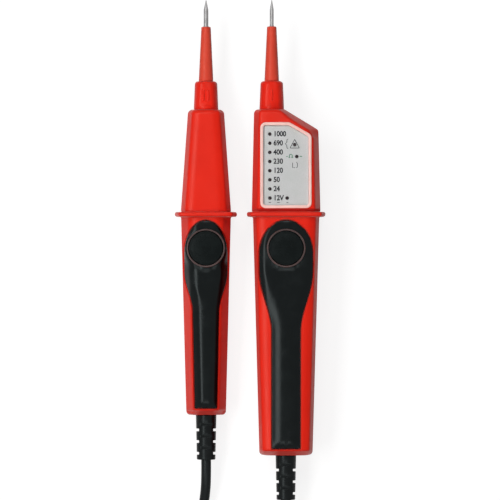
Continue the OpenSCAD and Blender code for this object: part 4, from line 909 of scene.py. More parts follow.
cover_levels = [(-0.25, 0.0), (-0.08, 0.06), (0.0, COVER_EDGE), (0.0, COVER_T)]
cover_top = on_back(display, cover_sheet, finger_ridges)
cover = pillow("display_battery_lid", cover_top, cover_levels, display.place)
low, at = float(bottom_z(display, COVER_SCREW_Y)), display.place + (0, COVER_SCREW_Y, 0)
carve(cover, rod(SCREW_D + 2 * FIT, -THROUGH, THROUGH, at),
      rod(SCREW_HEAD + 2 * GAP, -THROUGH, low + COVER_SEAT, at))
print("battery cover:", len(cover.data.polygons), "faces")

# %% [markdown]
# The housings are shut by small cross-head screws. A textured disc would do from afar, but a cross recess
# only looks right when light falls into it. A screw is a turned head with a rounded rim on a plain shank,
# and two crossed slots are cut into it. The four screws of a handle are one piece, as in the CAD model.

# %% Screws
SCREW_SIDES, SCREW_TIP, SCREW_HEAD_T, COVER_SCREW = 32, 0.6, 1.6, 7.0
CROSS_ARM, CROSS_HALF, CROSS_DEEP, CROSS_FLOOR = 1.25, 0.3, 0.9, 0.15


def copies(points, quads, spots):
    """One set of points and quads, repeated at each spot, as one array each."""
    every = (points.reshape(1, -1, 3) + spots[:, None]).reshape(-1, 3)
    shift = points.size // 3 * np.arange(len(spots))[:, None, None]
    return every, (quads[None] + shift).reshape(-1, 4).tolist()


def screws(name, h, places, length, head_t):
    """Screws that come in from the back: places are (x, y, height of the head's underside)."""
    shape = soften([
        (0, -head_t, 0), (SCREW_HEAD / 2, -head_t, 0.5), (SCREW_HEAD / 2, 0, 0.1), (SCREW_D / 2, 0, 0),
        (SCREW_D / 2, length - SCREW_TIP, 0), (SCREW_D / 2 - SCREW_TIP, length, 0), (0, length, 0),
    ])
    spots = np.array(places)
    quads = grid_quads(len(shape), SCREW_SIDES, False, True)
    piece = solid(name, *copies(turned_points(shape, SCREW_SIDES), quads, spots), h.place)
    deep = min(CROSS_DEEP, head_t - CROSS_FLOOR)
    for a, b in ((CROSS_ARM, CROSS_HALF), (CROSS_HALF, CROSS_ARM)):
        for spot in spots:
            carve(piece, slab(-a, a, -b, b, -head_t - OVER, -head_t + deep, h.place + spot))
    return piece


case_screws = {}
for h in handles:
    spots = [(x, y, float(part_z(h, y)) - SCREW_GRIP) for x, y in boss_places(h)]
    case_screws[h.name] = screws(h.name + "_case_screw_set", h, spots, h.screw_len, SCREW_HEAD_T)
spots = [(0, COVER_SCREW_Y, low + COVER_HEAD_T)]
cover_screw = screws("display_lid_screw", display, spots, COVER_SCREW, COVER_HEAD_T)
print("screws:", sum(len(s.data.polygons) for s in case_screws.values()), "faces")

# %% [markdown]
# The push-button is a moulded cap: a low dome with a rounded rim, on a skirt with a flange that keeps it in
# the handle, and a stem that reaches the switch. A thin ring lines its hole; its pale brownish grey is a
# painted highlight, for the light that its rounded rim catches. A flattened sphere would show a highlight
# of the wrong shape, so the cap is turned from its true profile, with a parabola as its dome. It is a piece
# of its own, because it moves.

# %% Buttons and rings
PROUD, DOME, DOME_RIM, RIM_ROUND, ROOF, STEM_D, SKIRT_T = 0.5, 0.55, 1.4, 0.7, 1.6, 4.0, 1.8
BOARD_T, SWITCH_H, PLUNGER_UP = 1.6, 3.6, 1.8
RING_LOW, RING_HIGH, RING_LIP = -1.3, 0.9, 0.3
buttons, rings = {}, {}
for h in handles:
    seat = h.place + (0, BUTTON_Y, h.seat_z)
    r, wide, flange = BUTTON_D / 2, BORE_D / 2 + FLANGE_REACH, -WELL - FIT
    stem = h.board_low + (BOARD_T + SWITCH_H + PLUNGER_UP) - h.seat_z
    skirt = soften([
        (0, stem, 0), (STEM_D / 2, stem, 0.2), (STEM_D / 2, -ROOF, 0.4), (r - SKIRT_T, -ROOF, 0.3),
        (r - SKIRT_T, flange - FLANGE_T, 0), (wide, flange - FLANGE_T, 0.15), (wide, flange, 0.1),
        (r, flange, 0), (r, PROUD - DOME, RIM_ROUND), (r - DOME_RIM, PROUD - DOME, 0),
    ])
    share = np.linspace(1, 0, 28)
    dome = np.stack([(r - DOME_RIM) * share, PROUD - DOME * share**2], -1)
    profile = np.concatenate([skirt, dome[1:]])
    buttons[h.name] = turned(h.name + "_push_cap", profile, seat, sides=FINE)
    ring = soften([
        (BORE_D / 2, RING_LOW, 0), (RING_D / 2, RING_LOW, 0), (RING_D / 2, RING_HIGH, RING_LIP),
        (BORE_D / 2, RING_HIGH, RING_LIP), (BORE_D / 2, RING_LOW, 0),
    ])[:-1]
    rings[h.name] = turned(h.name + "_button_bezel", ring, seat, sides=FINE, hollow=True)
print("button:", len(buttons["display"].data.polygons), "faces, ring:", len(rings["display"].data.polygons))

# %% [markdown]
# Each collar carries a moulded pole mark on its flat front: one raised bar on the display handle and two on
# the other. A bevelled box would do, but its ends would be square and its rim would need a bevel of its
# own. Here a bar is a small pillow from two parameters: its width follows a circle at both ends, and its
# height falls off smoothly at the rim.

# %% Pole marks
TOP, FACE_SHARE = 11.6, 0.91
FACE = FACE_SHARE * TOP / 2
MARK_H, MARK_W, MARK_LEN, MARK_Y, MARK_PITCH, MARK_UNDER = 0.5, 1.2, 6.0, 7.2, 2.4, 0.5
MARK_END, MARK_LEAST = 0.2, 0.02


def pole_marks(h, count):
    """Raised bars with round ends on the collar's front. Their height is flat in the middle and falls off
    smoothly at the rim, by high powers of the place across and along."""
    u, v = np.meshgrid(np.linspace(-1, 1, 17), np.linspace(-1, 1, 49))
    past = np.clip((np.abs(v) - (1 - MARK_END)) / MARK_END, 0, 1)
    round_end = np.sqrt(np.clip(1 - past**2, MARK_LEAST, 1))
    high = MARK_H * (1 - u**6) * (1 - v**20)
    out = []
    for k in range(count):
        x = (k - (count - 1) / 2) * MARK_PITCH + MARK_W / 2 * u * round_end
        y = MARK_Y + MARK_LEN / 2 * v
        sheets = [np.stack([x, y, FACE + z], -1) for z in (high, -MARK_UNDER + 0 * y)]
        place = h.place + (h.pin_x, h.head_len, h.axis_z)
        out.append(pillow("mark", lambda gap, depth: sheets[depth], [(0, 0), (0, 1)], place))
    return out


print("pole marks:", {h.name: h.marks for h in handles})

# %% [markdown]
# At the nose a collar holds the long tapered sleeve, and the sleeve insulates the steel pin down to its
# bare end. The collar's front is cut flat down to a small ledge, and the pole mark is joined to the flat.
# Plain cones and a bevel would give the outline, but not the different edges: soft on the collar, tight on
# the sleeve's mouth, sharp on the pin. So all three are turned from profiles.

# %% Collars, sleeves and pins
COLLAR, FOOT, COLLAR_ROUND, COLLAR_EDGE, FACE_LEDGE = 14.8, 12.8, 1.7, 0.25, 1.7
SLEEVE, SLEEVE_FOOT, SLEEVE_TOP, SLEEVE_EDGE = 28.4, 7.6, 4.9, 0.15
SOCKET_D, SOCKET = 5.8, 6.0
PIN, POINT, POINT_SHARE, PIN_REAR, SHANK_MORE, SHANK_PROUD = 14.0, 5.2, 0.06, 5.0, 0.3, 0.5
FLANGE_D, FLANGE = 11.4, 1.6
SEAL_LOW, SEAL_HIGH, SEAL_DEEP = -1.95, -0.55, 0.7
collars, sleeves, pins = {}, {}, {}
for h in handles:
    nose = h.place + (h.pin_x, h.head_len, h.axis_z)
    shank = (h.pin_d + SHANK_MORE) / 2
    bore, socket, spigot = shank + FIT, SOCKET_D / 2 + FIT, SPIGOT_D / 2
    collar = soften([
        (bore, -WALL - FLANGE, 0), (FLANGE_D / 2, -WALL - FLANGE, 0.3), (FLANGE_D / 2, -WALL - GAP, 0.2),
        (spigot, -WALL - GAP, 0), (spigot, SEAL_LOW, 0), (spigot - SEAL_DEEP, SEAL_LOW, 0),
        (spigot - SEAL_DEEP, SEAL_HIGH, 0), (spigot, SEAL_HIGH, 0), (spigot, GAP, 0), (FOOT / 2, GAP, 0.3),
        (TOP / 2, COLLAR, COLLAR_ROUND), (socket + COLLAR_EDGE, COLLAR, 0),
        (socket, COLLAR - COLLAR_EDGE, 0), (socket, COLLAR - SOCKET, 0), (bore, COLLAR - SOCKET, 0),
        (bore, -WALL - FLANGE, 0),
    ], 8)[:-1]
    piece = turned(h.name + "_collar", collar, nose, TO_PIN, FINE, hollow=True)
    carve(piece, slab(-FOOT, FOOT, FACE_LEDGE, COLLAR + OVER, FACE, FOOT, nose))
    collars[h.name] = carve(piece, *pole_marks(h, h.marks), join=True)
    top = h.place + (h.pin_x, h.head_len + COLLAR, h.axis_z)
    sleeve = soften([
        (bore, GAP - SOCKET, 0), (SOCKET_D / 2, GAP - SOCKET, 0.2), (SOCKET_D / 2, 0, 0),
        (SLEEVE_FOOT / 2, 0, 0.35), (SLEEVE_TOP / 2, SLEEVE, 0.55), (bore + SLEEVE_EDGE, SLEEVE, 0),
        (bore, SLEEVE - SLEEVE_EDGE, 0), (bore, GAP - SOCKET, 0),
    ])[:-1]
    sleeves[h.name] = turned(h.name + "_sleeve", sleeve, top, TO_PIN, 64, hollow=True)
    start, bare, tip = -COLLAR - WALL - FLANGE - PIN_REAR, SLEEVE + SHANK_PROUD, SLEEVE + PIN
    pin = soften([
        (0, start, 0), (shank, start, 0.2), (shank, bare, 0.1), (h.pin_d / 2, bare, 0),
        (h.pin_d / 2, tip - POINT, 3.0), (h.pin_d * POINT_SHARE, tip, 0.08), (0, tip, 0),
    ])
    pins[h.name] = turned(h.name + "_pin", pin, top, TO_PIN, 48)
print("collar:", len(collars["display"].data.polygons), "faces, pin:", len(pins["display"].data.polygons))

# %% [markdown]
# A strain relief is a soft rubber sleeve, whose slots lie alternately at its sides and at its front and
# back, so that it bends evenly. Six Boolean cuts would make the slots, but leave ragged edges on a tapered
# sleeve. Here it is one polar grid: the radius is the round outside, and inside a slot's range it is the
# smaller of that and the flat core that the slot leaves. Stations close to each slot's edges give it small
# rounded lips.

# %% Strain reliefs
RELIEF, ROOT_D, END_D = 23.4, 10.7, 9.7
SLOTS, SLOT_PITCH, SLOT_W, FIRST_SLOT = 3, 6.1, 1.5, 7.9
CORE_SIDE, CORE_FRONT = 7.4, 8.2
ANCHOR_R, ANCHOR_LOW, ANCHOR_HIGH, ROOT_RUN, END_RUN, MOUTH = 5.6, -4.6, -2.6, 1.2, 1.5, 2
SLOPE_STEP, TINY = 0.02, 1e-6
LIP_STEPS = np.array([0.14, 0.06, 0.0, -0.02, -0.08])
LIP_SHARES = np.array([0.0, 0.03, 0.1, 0.97, 1.0])

number = np.arange(SLOTS)
slot_z = np.concatenate([FIRST_SLOT + SLOT_PITCH * number, FIRST_SLOT + SLOT_PITCH * (number - 0.5)])
slot_side = np.arange(2 * SLOTS) < SLOTS
rows = sorted([(z + way * s, k, side) for z, side in zip(slot_z, slot_side) for way in (-1, 1)
               for s, k in zip(SLOT_W / 2 + LIP_STEPS, LIP_SHARES)])
station, deep, side = (np.array(v, float) for v in zip(*rows))
a = np.arange(FINE) * 2 * np.pi / FINE
flat_side = CORE_SIDE / 2 / np.maximum(np.abs(np.cos(a)), TINY)
flat_front = CORE_FRONT / 2 / np.maximum(np.abs(np.sin(a)), TINY)
flat_core = np.where(side[:, None] > 0, flat_side, flat_front)
outside = mix(ROOT_D, END_D, station / RELIEF)[:, None] / 2
slotted = outside - deep[:, None] * (outside - np.minimum(outside, flat_core))
mouth = LEAD_D / 2 + FIT
root = soften([
    (mouth, ANCHOR_LOW, 0), (ANCHOR_R, ANCHOR_LOW, 0.3), (ANCHOR_R, ANCHOR_HIGH, 0.2),
    (NECK_D / 2, ANCHOR_HIGH, 0), (NECK_D / 2, GAP, 0), (ROOT_D / 2, GAP, 0.25),
    (ROOT_D / 2 - SLOPE_STEP, ROOT_RUN, 0),
])
tip = soften([
    (END_D / 2 + SLOPE_STEP, RELIEF - END_RUN, 0), (END_D / 2, RELIEF, 0.5), (mouth, RELIEF, 0.3),
    (mouth, RELIEF - MOUTH, 0),
])
radius = np.concatenate([root[:, :1] + 0 * a, slotted, tip[:, :1] + 0 * a])
height = np.concatenate([root[:, 1], station, tip[:, 1]])[:, None] + 0 * a
relief_grid = np.stack([radius * np.cos(a), radius * np.sin(a), height], -1)
reliefs = {}
for h in handles:
    place = h.place + (0, -h.grip_len, h.tail_z)
    reliefs[h.name] = frame_loop(h.name + "_bend_relief", relief_grid @ TO_LEAD.T, place)
print("strain relief:", len(reliefs["display"].data.polygons), "faces")

# %% [markdown]
# The window lies in one seat with its pale surround and the scale plate, parallel to the head's sloping
# front face. All have the same five-cornered outline, at different distances from the edge. They could be
# three extruded curves, fitted to each other by eye. Here one function draws the outline for any inset, in
# the face's plane as (x, s) and with round corners, and every piece is a list of (inset, height) laid on
# the face.

# %% Window, surround and scale plate
TILT = math.atan((display.head_h - display.head_top_h) / 2 / display.head_len)
WINDOW = SimpleNamespace(
    low=3.0, length=44.9, left=13.5, right=13.2, cut_w=11.6, cut_h=6.6, round=3.0, round_least=0.25, rim=1.65,
)
RIM_PROUD, SUNK, PANE_T, PLATE_T = 0.25, 0.2, 1.0, 0.6
RIM_GAP, PANE_GAP, SEAT_EDGE, SEAT_OUT = 0.1, 0.05, 0.22, 3.0
SEAT = SUNK + PANE_T + PLATE_T
cos_tilt, sin_tilt = math.cos(TILT), math.sin(TILT)
on_face_matrix = np.array([[1, 0, 0], [0, cos_tilt, sin_tilt], [0, -sin_tilt, cos_tilt]])
face_place = display.place + (0, 0, float(top_z(display, 0.0)))


def window_outline(inset, steps=8):
    """The window's outline drawn in by inset all round, with an arc at each of its five corners."""
    w = WINDOW
    slant = math.hypot(w.cut_w, w.cut_h)
    high = w.low + w.length
    corners = np.array([
        [inset - w.left, w.low + inset], [w.right - inset, w.low + inset],
        [w.right - inset, high - w.cut_h - inset * (slant - w.cut_h) / w.cut_w],
        [w.right - w.cut_w - inset * (slant - w.cut_w) / w.cut_h, high - inset],
        [inset - w.left, high - inset],
    ])
    r = max(w.round - inset, w.round_least)
    closed = [(*p, r) for p in np.concatenate([corners[-1:], corners, corners[:1]])]
    return soften(closed, steps)[1:-1]


def window_rings(levels):
    """Rings of the window's outline at levels (inset, height over the face), laid on the face."""
    lines = [window_outline(inset) for inset, _ in levels]
    flat = [np.column_stack([line, np.full(len(line), t)]) for line, (_, t) in zip(lines, levels)]
    return np.stack(flat) @ on_face_matrix.T


seat_tools = [
    loft("seat", window_rings([
        (-SEAT_EDGE, SEAT_OUT), (-SEAT_EDGE, 0.12), (0.0, -0.1), (0.0, -SEAT),
    ]), face_place),
    loft("way", window_rings([(SEAT_OUT, -SEAT - SEAT_OUT), (SEAT_OUT, OVER)]), face_place),
]
carve(fronts["display"], *seat_tools)
rim, inner = RIM_GAP, WINDOW.rim
surround = frame_loop("display_window_surround", window_rings([
    (rim, -SEAT), (rim, RIM_PROUD - 0.25), (rim + 0.07, RIM_PROUD - 0.07), (rim + 0.25, RIM_PROUD),
    (inner - 0.45, RIM_PROUD), (inner - 0.1, RIM_PROUD - 0.12), (inner, -SUNK), (inner, -SEAT),
]), face_place)
pane_in = inner + PANE_GAP
pane = loft("display_window_pane", window_rings([
    (pane_in, -SUNK - PANE_T), (pane_in, -SUNK - 0.08), (pane_in + 0.08, -SUNK),
]), face_place)
plate_top = -SEAT + PLATE_T - PANE_GAP
plate = loft("display_scale_panel", window_rings([(pane_in, -SEAT), (pane_in, plate_top)]), face_place)
print("surround:", len(surround.data.polygons), "faces, tilt", round(math.degrees(TILT), 2), "degrees")

# %% [markdown]
# The scale is printed on the plate: a column of figures beside the lamps. An image would be the usual way,
# but it blurs close up and has no gloss of its own. So the print is a thin layer of mesh. The figures are
# generic numbers, made with Blender's own typeface, turned to meshes, narrowed a little and laid on the
# plate.

# %% Figures of the scale
ROW_HIGH, ROW_PITCH, COLUMN = 41.8, 4.76, -8.45
PRINT_T, PRINT_BOLD, PRINT_NARROW, PRINT_DEPTH = 0.012, 0.13, 0.88, 0.001
FIGURE_H, FIGURE_GAP = 3.7, 1.9
VALUES = ("1000", "690", "400", "230", "120", "50", "24", "12V")
rows_s = ROW_HIGH - ROW_PITCH * np.arange(len(VALUES))
lamp_spots = np.array([[COLUMN, s] for s in rows_s] + [[0.5, rows_s[-1]], [4.4, 36.3], [5.5, 30.1]])


def lay_on_plate(flat, height):
    """Places points (x, s) on the scale plate at a height over it, which is one number or one a point."""
    return np.column_stack([flat, np.full(len(flat), plate_top + height)]) @ on_face_matrix.T + face_place


def figures(words):
    """Each word (text, x, s, size) as a thin mesh on the plate; all of them become one object."""
    work = bmesh.new()
    for text, x, s, size in words:
        curve = bpy.data.curves.new("figures", "FONT")
        curve.body, curve.size, curve.align_y, curve.extrude = text, size, "CENTER", PRINT_DEPTH
        curve.bevel_depth, curve.bevel_resolution = PRINT_BOLD, 0
        letters = bpy.data.objects.new("figures", curve)
        mesh = bpy.data.meshes.new_from_object(letters)
        points = np.zeros(len(mesh.vertices) * 3)
        mesh.vertices.foreach_get("co", points)
        points = points.reshape(-1, 3)
        thin = points[:, 2] / np.abs(points[:, 2]).max()
        flat = np.column_stack([points[:, 0] * PRINT_NARROW + x, points[:, 1] + s])
        mesh.vertices.foreach_set("co", (lay_on_plate(flat, PRINT_T * (1 + thin) / 2) * MM).ravel())
        work.from_mesh(mesh)
        bpy.data.meshes.remove(mesh)
        bpy.data.objects.remove(letters)
    bmesh.ops.remove_doubles(work, verts=work.verts, dist=WELD)
    mesh = bpy.data.meshes.new("figures")
    work.to_mesh(mesh)
    work.free()
    piece = bpy.data.objects.new("display_scale_figures", mesh)
    bpy.context.collection.objects.link(piece)
    return piece


scale_figures = figures([(text, COLUMN + FIGURE_GAP, s, FIGURE_H) for text, s in zip(VALUES, rows_s)])
print("figures:", len(scale_figures.data.polygons), "faces")

# %% [markdown]
# Beside the figures the plate has a few plain signs, among them a brace, an empty triangle and the mark of
# the continuity lamp. They could be letters of some typeface too, but a typeface has its own idea of them.
# So each sign is a strip of even width along a line of points in the plate's plane, and all the strips of
# one colour are one thin object.

# %% Signs of the scale
SIGN_W, OHM_W = 0.32, 0.42


def strokes(name, lines, wide):
    """Strips of even width along lines in the plate's plane, as one thin object."""
    points, faces, count = [], [], 0
    for line in lines:
        line = np.array(line, float)
        along = unit(np.gradient(line, axis=0))
        side = np.column_stack([-along[:, 1], along[:, 0]]) * wide / 2
        for offset, height in ((side, PRINT_T), (-side, PRINT_T), (-side, 0), (side, 0)):
            points.append(lay_on_plate(line + offset, height))
        n = len(line)
        grid = count + np.arange(4 * n).reshape(4, n)
        faces += [[*col] for col in (grid[:, 0], grid[::-1, -1])]
        faces += (count + grid_quads(4, n, close_rows=True)).tolist()
        count += 4 * n
    return solid(name, np.concatenate(points), faces)


ohm_a = np.radians(np.linspace(-60, 240, 21))
signs = strokes("display_scale_signs", [
    [(1.0, 39.2), (0.4, 38.8), (0.3, 37.4), (-0.5, 36.7), (0.3, 36.0), (0.4, 34.6), (1.0, 34.2)],
    [(2.0, 34.5), (4.4, 39.0)], [(4.4, 39.0), (6.8, 34.5)], [(6.8, 34.5), (2.0, 34.5)],
    [(3.3, 26.9), (3.3, 24.3), (4.5, 24.3)], [(5.3, 27.1), (5.8, 26.4), (5.8, 24.8), (5.3, 24.1)],
    [(COLUMN - 0.6, 6.2), (COLUMN + 0.6, 6.2)], [(-4.6, 6.2), (-3.4, 6.2)], [(0.1, 6.2), (1.1, 6.2)],
], SIGN_W)
ohm = strokes("display_continuity_sign", [
    np.column_stack([2.4 + 0.75 * np.cos(ohm_a), 30.4 + 0.85 * np.sin(ohm_a)]),
    [(1.2, 29.6), (2.1, 29.6)], [(2.7, 29.6), (3.6, 29.6)],
    [(6.9, 30.1), (8.3, 30.1)], [(0.0, 30.1), (0.8, 30.1)],
], OHM_W)
print("signs:", len(signs.data.polygons), "and", len(ohm.data.polygons), "faces")

# %% [markdown]
# The indicator lamps are small tinted lenses that stand in holes of the plate and look nearly black when
# they are off. Spheres stuck on the plate would show seams. Each is a bar with a low dome, turned from a
# profile, and all eleven share one mesh, as they share one moulded strip in the tester.

# %% Lamps
HOLDER_T, LAMP_R, LAMP_DOME, LAMP_UNDER, LAMP_SIDES = 3.6, 0.9, 0.3, 0.35, 24
dome_a = np.radians(np.linspace(0, 90, 6))
dome_z = -SUNK - PANE_T - LAMP_UNDER + LAMP_DOME * np.sin(dome_a)
lamp_low = -SEAT - HOLDER_T
lamp_profile = np.concatenate([
    [[0, lamp_low], [LAMP_R, lamp_low]], np.column_stack([LAMP_R * np.cos(dome_a), dome_z]),
])
quads = grid_quads(len(lamp_profile), LAMP_SIDES, False, True)
spots = np.column_stack([lamp_spots, np.zeros(len(lamp_spots))])
every, faces = copies(turned_points(lamp_profile, LAMP_SIDES), quads, spots)
lamps = solid("display_lamp_set", every @ on_face_matrix.T, faces, face_place)
for hole in spots + (0, 0, plate_top):
    place = hole @ on_face_matrix.T + face_place
    carve(plate, rod(2 * LAMP_R + 2 * FIT, -OVER, OVER, place, on_face_matrix))
print("lamps:", len(spots), "with", len(lamps.data.polygons), "faces")

# %% [markdown]
# A woven band holds the coil together. It could be a torus squeezed round the turns, but a band is flat,
# with thin rounded edges. So it is a strip that runs once round all turns: a rectangle with round corners,
# repeated at each step across the band's edge.

# %% Coil tie
TIE_T, TIE_W, TIE_GAP, TIE_EDGE, TIE_INNER_EDGE = 0.7, 8.0, 0.3, 0.15, 0.1


def band_outline(grow):
    """The band's way round the bundle in a plane across it: a rectangle with round corners."""
    inner = COIL_R - COIL_PITCH * COIL_TURNS - COIL_PITCH / 4 - LEAD_D / 2 - TIE_GAP - grow
    outer = COIL_R + LEAD_D / 2 + TIE_GAP + grow
    low = COIL_LOW - LEAD_D / 2 - TIE_GAP / 2 - grow
    high = COIL_LOW + COIL_RISE + LEAD_D / 2 + TIE_GAP + grow
    box = np.array([[inner, low], [outer, low], [outer, high], [inner, high]])
    closed = [(*p, LEAD_D / 2 + grow) for p in np.concatenate([box[-1:], box, box[:1]])]
    return soften(closed, 8)[1:-1]


def band_ring(grow, x):
    """The band's outline at x across its width, stood up over the coil."""
    line = band_outline(grow)
    return np.column_stack([np.full(len(line), COIL_X + x), COIL_Y - line[:, 0], line[:, 1]])


half = TIE_W / 2
edge_steps = [
    (0.0, half - TIE_INNER_EDGE), (TIE_EDGE, half), (TIE_T - TIE_EDGE, half), (TIE_T, half - TIE_EDGE),
]
edge_steps += [(grow, -x) for grow, x in edge_steps[::-1]]
tie = frame_loop("lead_band", np.stack([band_ring(grow, x) for grow, x in edge_steps]))
print("tie:", len(tie.data.polygons), "faces")

# %% [markdown]
# Materials are node trees. They could be written node by node, with every link by name, which hides what
# they compute. This small class wraps a node's output, so that shader maths reads like arithmetic: a sum or
# a product of two signals adds the Math node that works it out.


# %% Socket arithmetic
class Signal:
    """A node's output in a material. Arithmetic on it adds Math nodes."""

    def __init__(self, finish, socket):
        self.finish, self.socket = finish, socket

    def _math(self, operation, a, b):
        return self.finish.node("ShaderNodeMath", {"operation": operation}, {0: a, 1: b})

    def __add__(self, other):
        return self._math("ADD", self, other)

    def __mul__(self, other):
        return self._math("MULTIPLY", self, other)


print("sums and products of signals are nodes from here on")

# %% [markdown]
# A finish needs the same few nodes again and again: noise of a known size, a range, a blend of two colours,
# a bump. Copying a ready node group would do, but a group hides its numbers. So one class holds a material
# while it is made. Its main method adds any node from its type, its settings and the values or links of its
# sockets, and the others are short names for the usual ones.


# %% Node builder
def opaque(value):
    """A colour of three numbers with its alpha, and any other value as it is."""
    return (*value, 1.0) if isinstance(value, tuple) and len(value) == 3 else value


class Finish:
    """A material, or the world, under construction."""

    def __init__(self, owner, closing="ShaderNodeOutputMaterial"):
        owner.use_nodes = True
        self.material, self.tree = owner, owner.node_tree
        self.tree.nodes.clear()
        self.out = self.tree.nodes.new(closing)
        self.place = self.node("ShaderNodeTexCoord", output="Object")

    def node(self, kind, settings=None, inputs=None, output=0):
        """Adds a node: its settings first, then the values or links of its sockets."""
        node = self.tree.nodes.new(kind)
        for key, value in (settings or {}).items():
            setattr(node, key, value)
        for key, value in (inputs or {}).items():
            if isinstance(value, Signal):
                self.tree.links.new(value.socket, node.inputs[key])
            else:
                node.inputs[key].default_value = value
        return Signal(self, node.outputs[output])

    def noise(self, size, detail=3.0, rough=0.5, at=None):
        """Noise whose lumps are about size millimetres."""
        return self.node("ShaderNodeTexNoise", {}, {
            "Vector": at or self.place, "Scale": 1 / (size * MM), "Detail": detail, "Roughness": rough,
        }, "Fac")

    def stretch(self, sx, sy, sz):
        """Object coordinates scaled along each axis."""
        scale = {0: self.place, 1: (sx, sy, sz)}
        return self.node("ShaderNodeVectorMath", {"operation": "MULTIPLY"}, scale)

    def range(self, value, low, high, to_low=0.0, to_high=1.0):
        """Maps low..high to to_low..to_high and stops at both ends."""
        return self.node("ShaderNodeMapRange", {}, {
            "Value": value, "From Min": low, "From Max": high, "To Min": to_low, "To Max": to_high})

    def blend(self, share, a, b):
        """A mix of two colours."""
        return self.node("ShaderNodeMix", {"data_type": "RGBA"}, {0: share, 6: opaque(a), 7: opaque(b)}, 2)

    def bump(self, height, strength, distance):
        """A bump of so many millimetres."""
        inputs = {"Height": height, "Strength": strength, "Distance": distance * MM}
        return self.node("ShaderNodeBump", {}, inputs)

    def surface(self, **sockets):
        """The closing shader: names use _ for a space."""
        values = {key.replace("_", " "): opaque(value) for key, value in sockets.items()}
        return self.close(self.node("ShaderNodeBsdfPrincipled", {}, values))

    def close(self, shader):
        """Links the last shader to the output."""
        self.tree.links.new(shader.socket, self.out.inputs["Surface"])
        return self.material


print("a colour with its alpha:", opaque((1.0, 0.0, 0.0)))

# %% [markdown]
# The housings are moulded in a hard red plastic with a satin skin. Up close it has a fine spark-eroded
# grain, slow changes of colour from the flow of the melt, and a few places rubbed smoother by hands. One
# flat colour with one roughness would look like paint in a render. So two close tones are mixed by slow
# noise, the grain is a bump of noise smaller than a millimetre, and larger noise varies the roughness. The
# gloss is weak and slightly warm, because this plastic keeps its red where it mirrors the lamps.


# %% Red plastic
def red_plastic(name, colour, deep, rough, grain):
    """Moulded plastic: two close tones by slow noise, fine grain in the bump, roughness in patches."""
    f = Finish(bpy.data.materials.new(name))
    flow = f.range(f.noise(26.0, 4.0), 0.35, 0.65)
    fine, patch = f.noise(0.35, 2.0), f.range(f.noise(9.0, 3.0), 0.3, 0.7)
    return f.surface(
        Base_Color=f.blend(flow, deep, colour),
        Roughness=f.range(patch + fine * 0.3, 0.0, 1.3, rough - 0.04, rough + 0.07),
        Specular_IOR_Level=0.2, Specular_Tint=(1.0, 0.85, 0.7),
        Sheen_Weight=0.3, Sheen_Roughness=0.4, Sheen_Tint=(1.0, 0.8, 0.7),
        Normal=f.bump(fine + f.noise(1.1, 2.0) * 0.5, grain, 0.03),
    )


materials = {
    "case_red": red_plastic("case_red", (0.800, 0.016, 0.005), (0.740, 0.013, 0.004), 0.34, 0.35),
    "sleeve_red": red_plastic("sleeve_red", (0.720, 0.066, 0.036), (0.660, 0.056, 0.030), 0.36, 0.2),
}
print("red finishes:", sorted(materials))

# %% [markdown]
# The inlay, reliefs, lead and seals are black elastomers, and the buttons a black plastic close to them.
# They could share one black, but in the photograph they differ by their gloss more than by their colour. So
# one function takes tone, gloss and grain, and each piece gets its own: the grip satin with a fine leathery
# grain, the relief smoother and the seals matt. A little grey dust is mixed in by noise, because no rubber
# stays black.

# %% Black rubber
DUST_SHARE, DUST_TONE = 1.6, 0.0012


def rubber(name, tone, rough, grain_size, grain, shine=0.1):
    """Soft black: a dark tone with a little dust-grey in it, satin in patches, and an even grain."""
    f = Finish(bpy.data.materials.new(name))
    grain_noise = f.noise(grain_size, 3.0, 0.6)
    dust = f.range(f.noise(6.0, 5.0, 0.6), 0.45, 0.75)
    dusty = tuple(v * DUST_SHARE + DUST_TONE for v in tone)
    return f.surface(
        Base_Color=f.blend(dust, tone, dusty),
        Roughness=f.range(dust + grain_noise * 0.4, 0.0, 1.4, rough, rough + 0.12),
        Specular_IOR_Level=shine, Specular_Tint=(0.88, 1.0, 1.0),
        Normal=f.bump(grain_noise, grain, 0.05),
    )


materials |= {
    "grip_black": rubber("grip_black", (0.0008, 0.0014, 0.0016), 0.19, 0.5, 0.05, 0.13),
    "relief_black": rubber("relief_black", (0.0024, 0.0028, 0.0030), 0.26, 0.8, 0.1, 0.12),
    "seal_black": rubber("seal_black", (0.006, 0.006, 0.006), 0.6, 0.5, 0.2),
    "lead_black": rubber("lead_black", (0.0030, 0.0032, 0.0036), 0.34, 1.5, 0.15, 0.14),
    "button_black": rubber("button_black", (0.0008, 0.0018, 0.0018), 0.24, 0.6, 0.04, 0.1),
    "part_black": rubber("part_black", (0.012, 0.012, 0.013), 0.5, 0.4, 0.2, 0.4),
}
print("black finishes:", sorted(name for name in materials if name.endswith("black")))

# %% [markdown]
# The tie is woven from black thread. Real threads would cost many faces on a piece outside the picture. So
# its bump and its colour both follow the product of two crossing sine waves: where one thread dips, the
# other lies on top.

# %% Woven band
THREAD = 0.9


def woven(name):
    """Two waves across each other: where one thread dips the other lies on top."""
    f = Finish(bpy.data.materials.new(name))
    x, y, z = (f.node("ShaderNodeSeparateXYZ", {}, {0: f.place}, k) for k in range(3))
    waves = [f.node("ShaderNodeMath", {"operation": "SINE"}, {0: v * (2 * math.pi / (THREAD * MM))})
             for v in (x, y + z)]
    weave = f.range(waves[0] * waves[1], -1.0, 1.0)
    return f.surface(Base_Color=f.blend(weave, (0.008, 0.008, 0.009), (0.035, 0.035, 0.037)),
                     Roughness=f.range(weave, 0, 1, 0.8, 0.65), Normal=f.bump(weave, 0.6, 0.15))


materials["tie_black"] = woven("tie_black")
print("threads are", THREAD, "mm apart")

# %% [markdown]
# The pins are drawn steel with fine turning lines across them, and screws, springs and contacts are plated.
# A mirror-like metal would show only the white studio. Each metal here has its own colour and roughness,
# slow changes of tone, and scratches: noise stretched across the pin, which moves both bump and roughness.


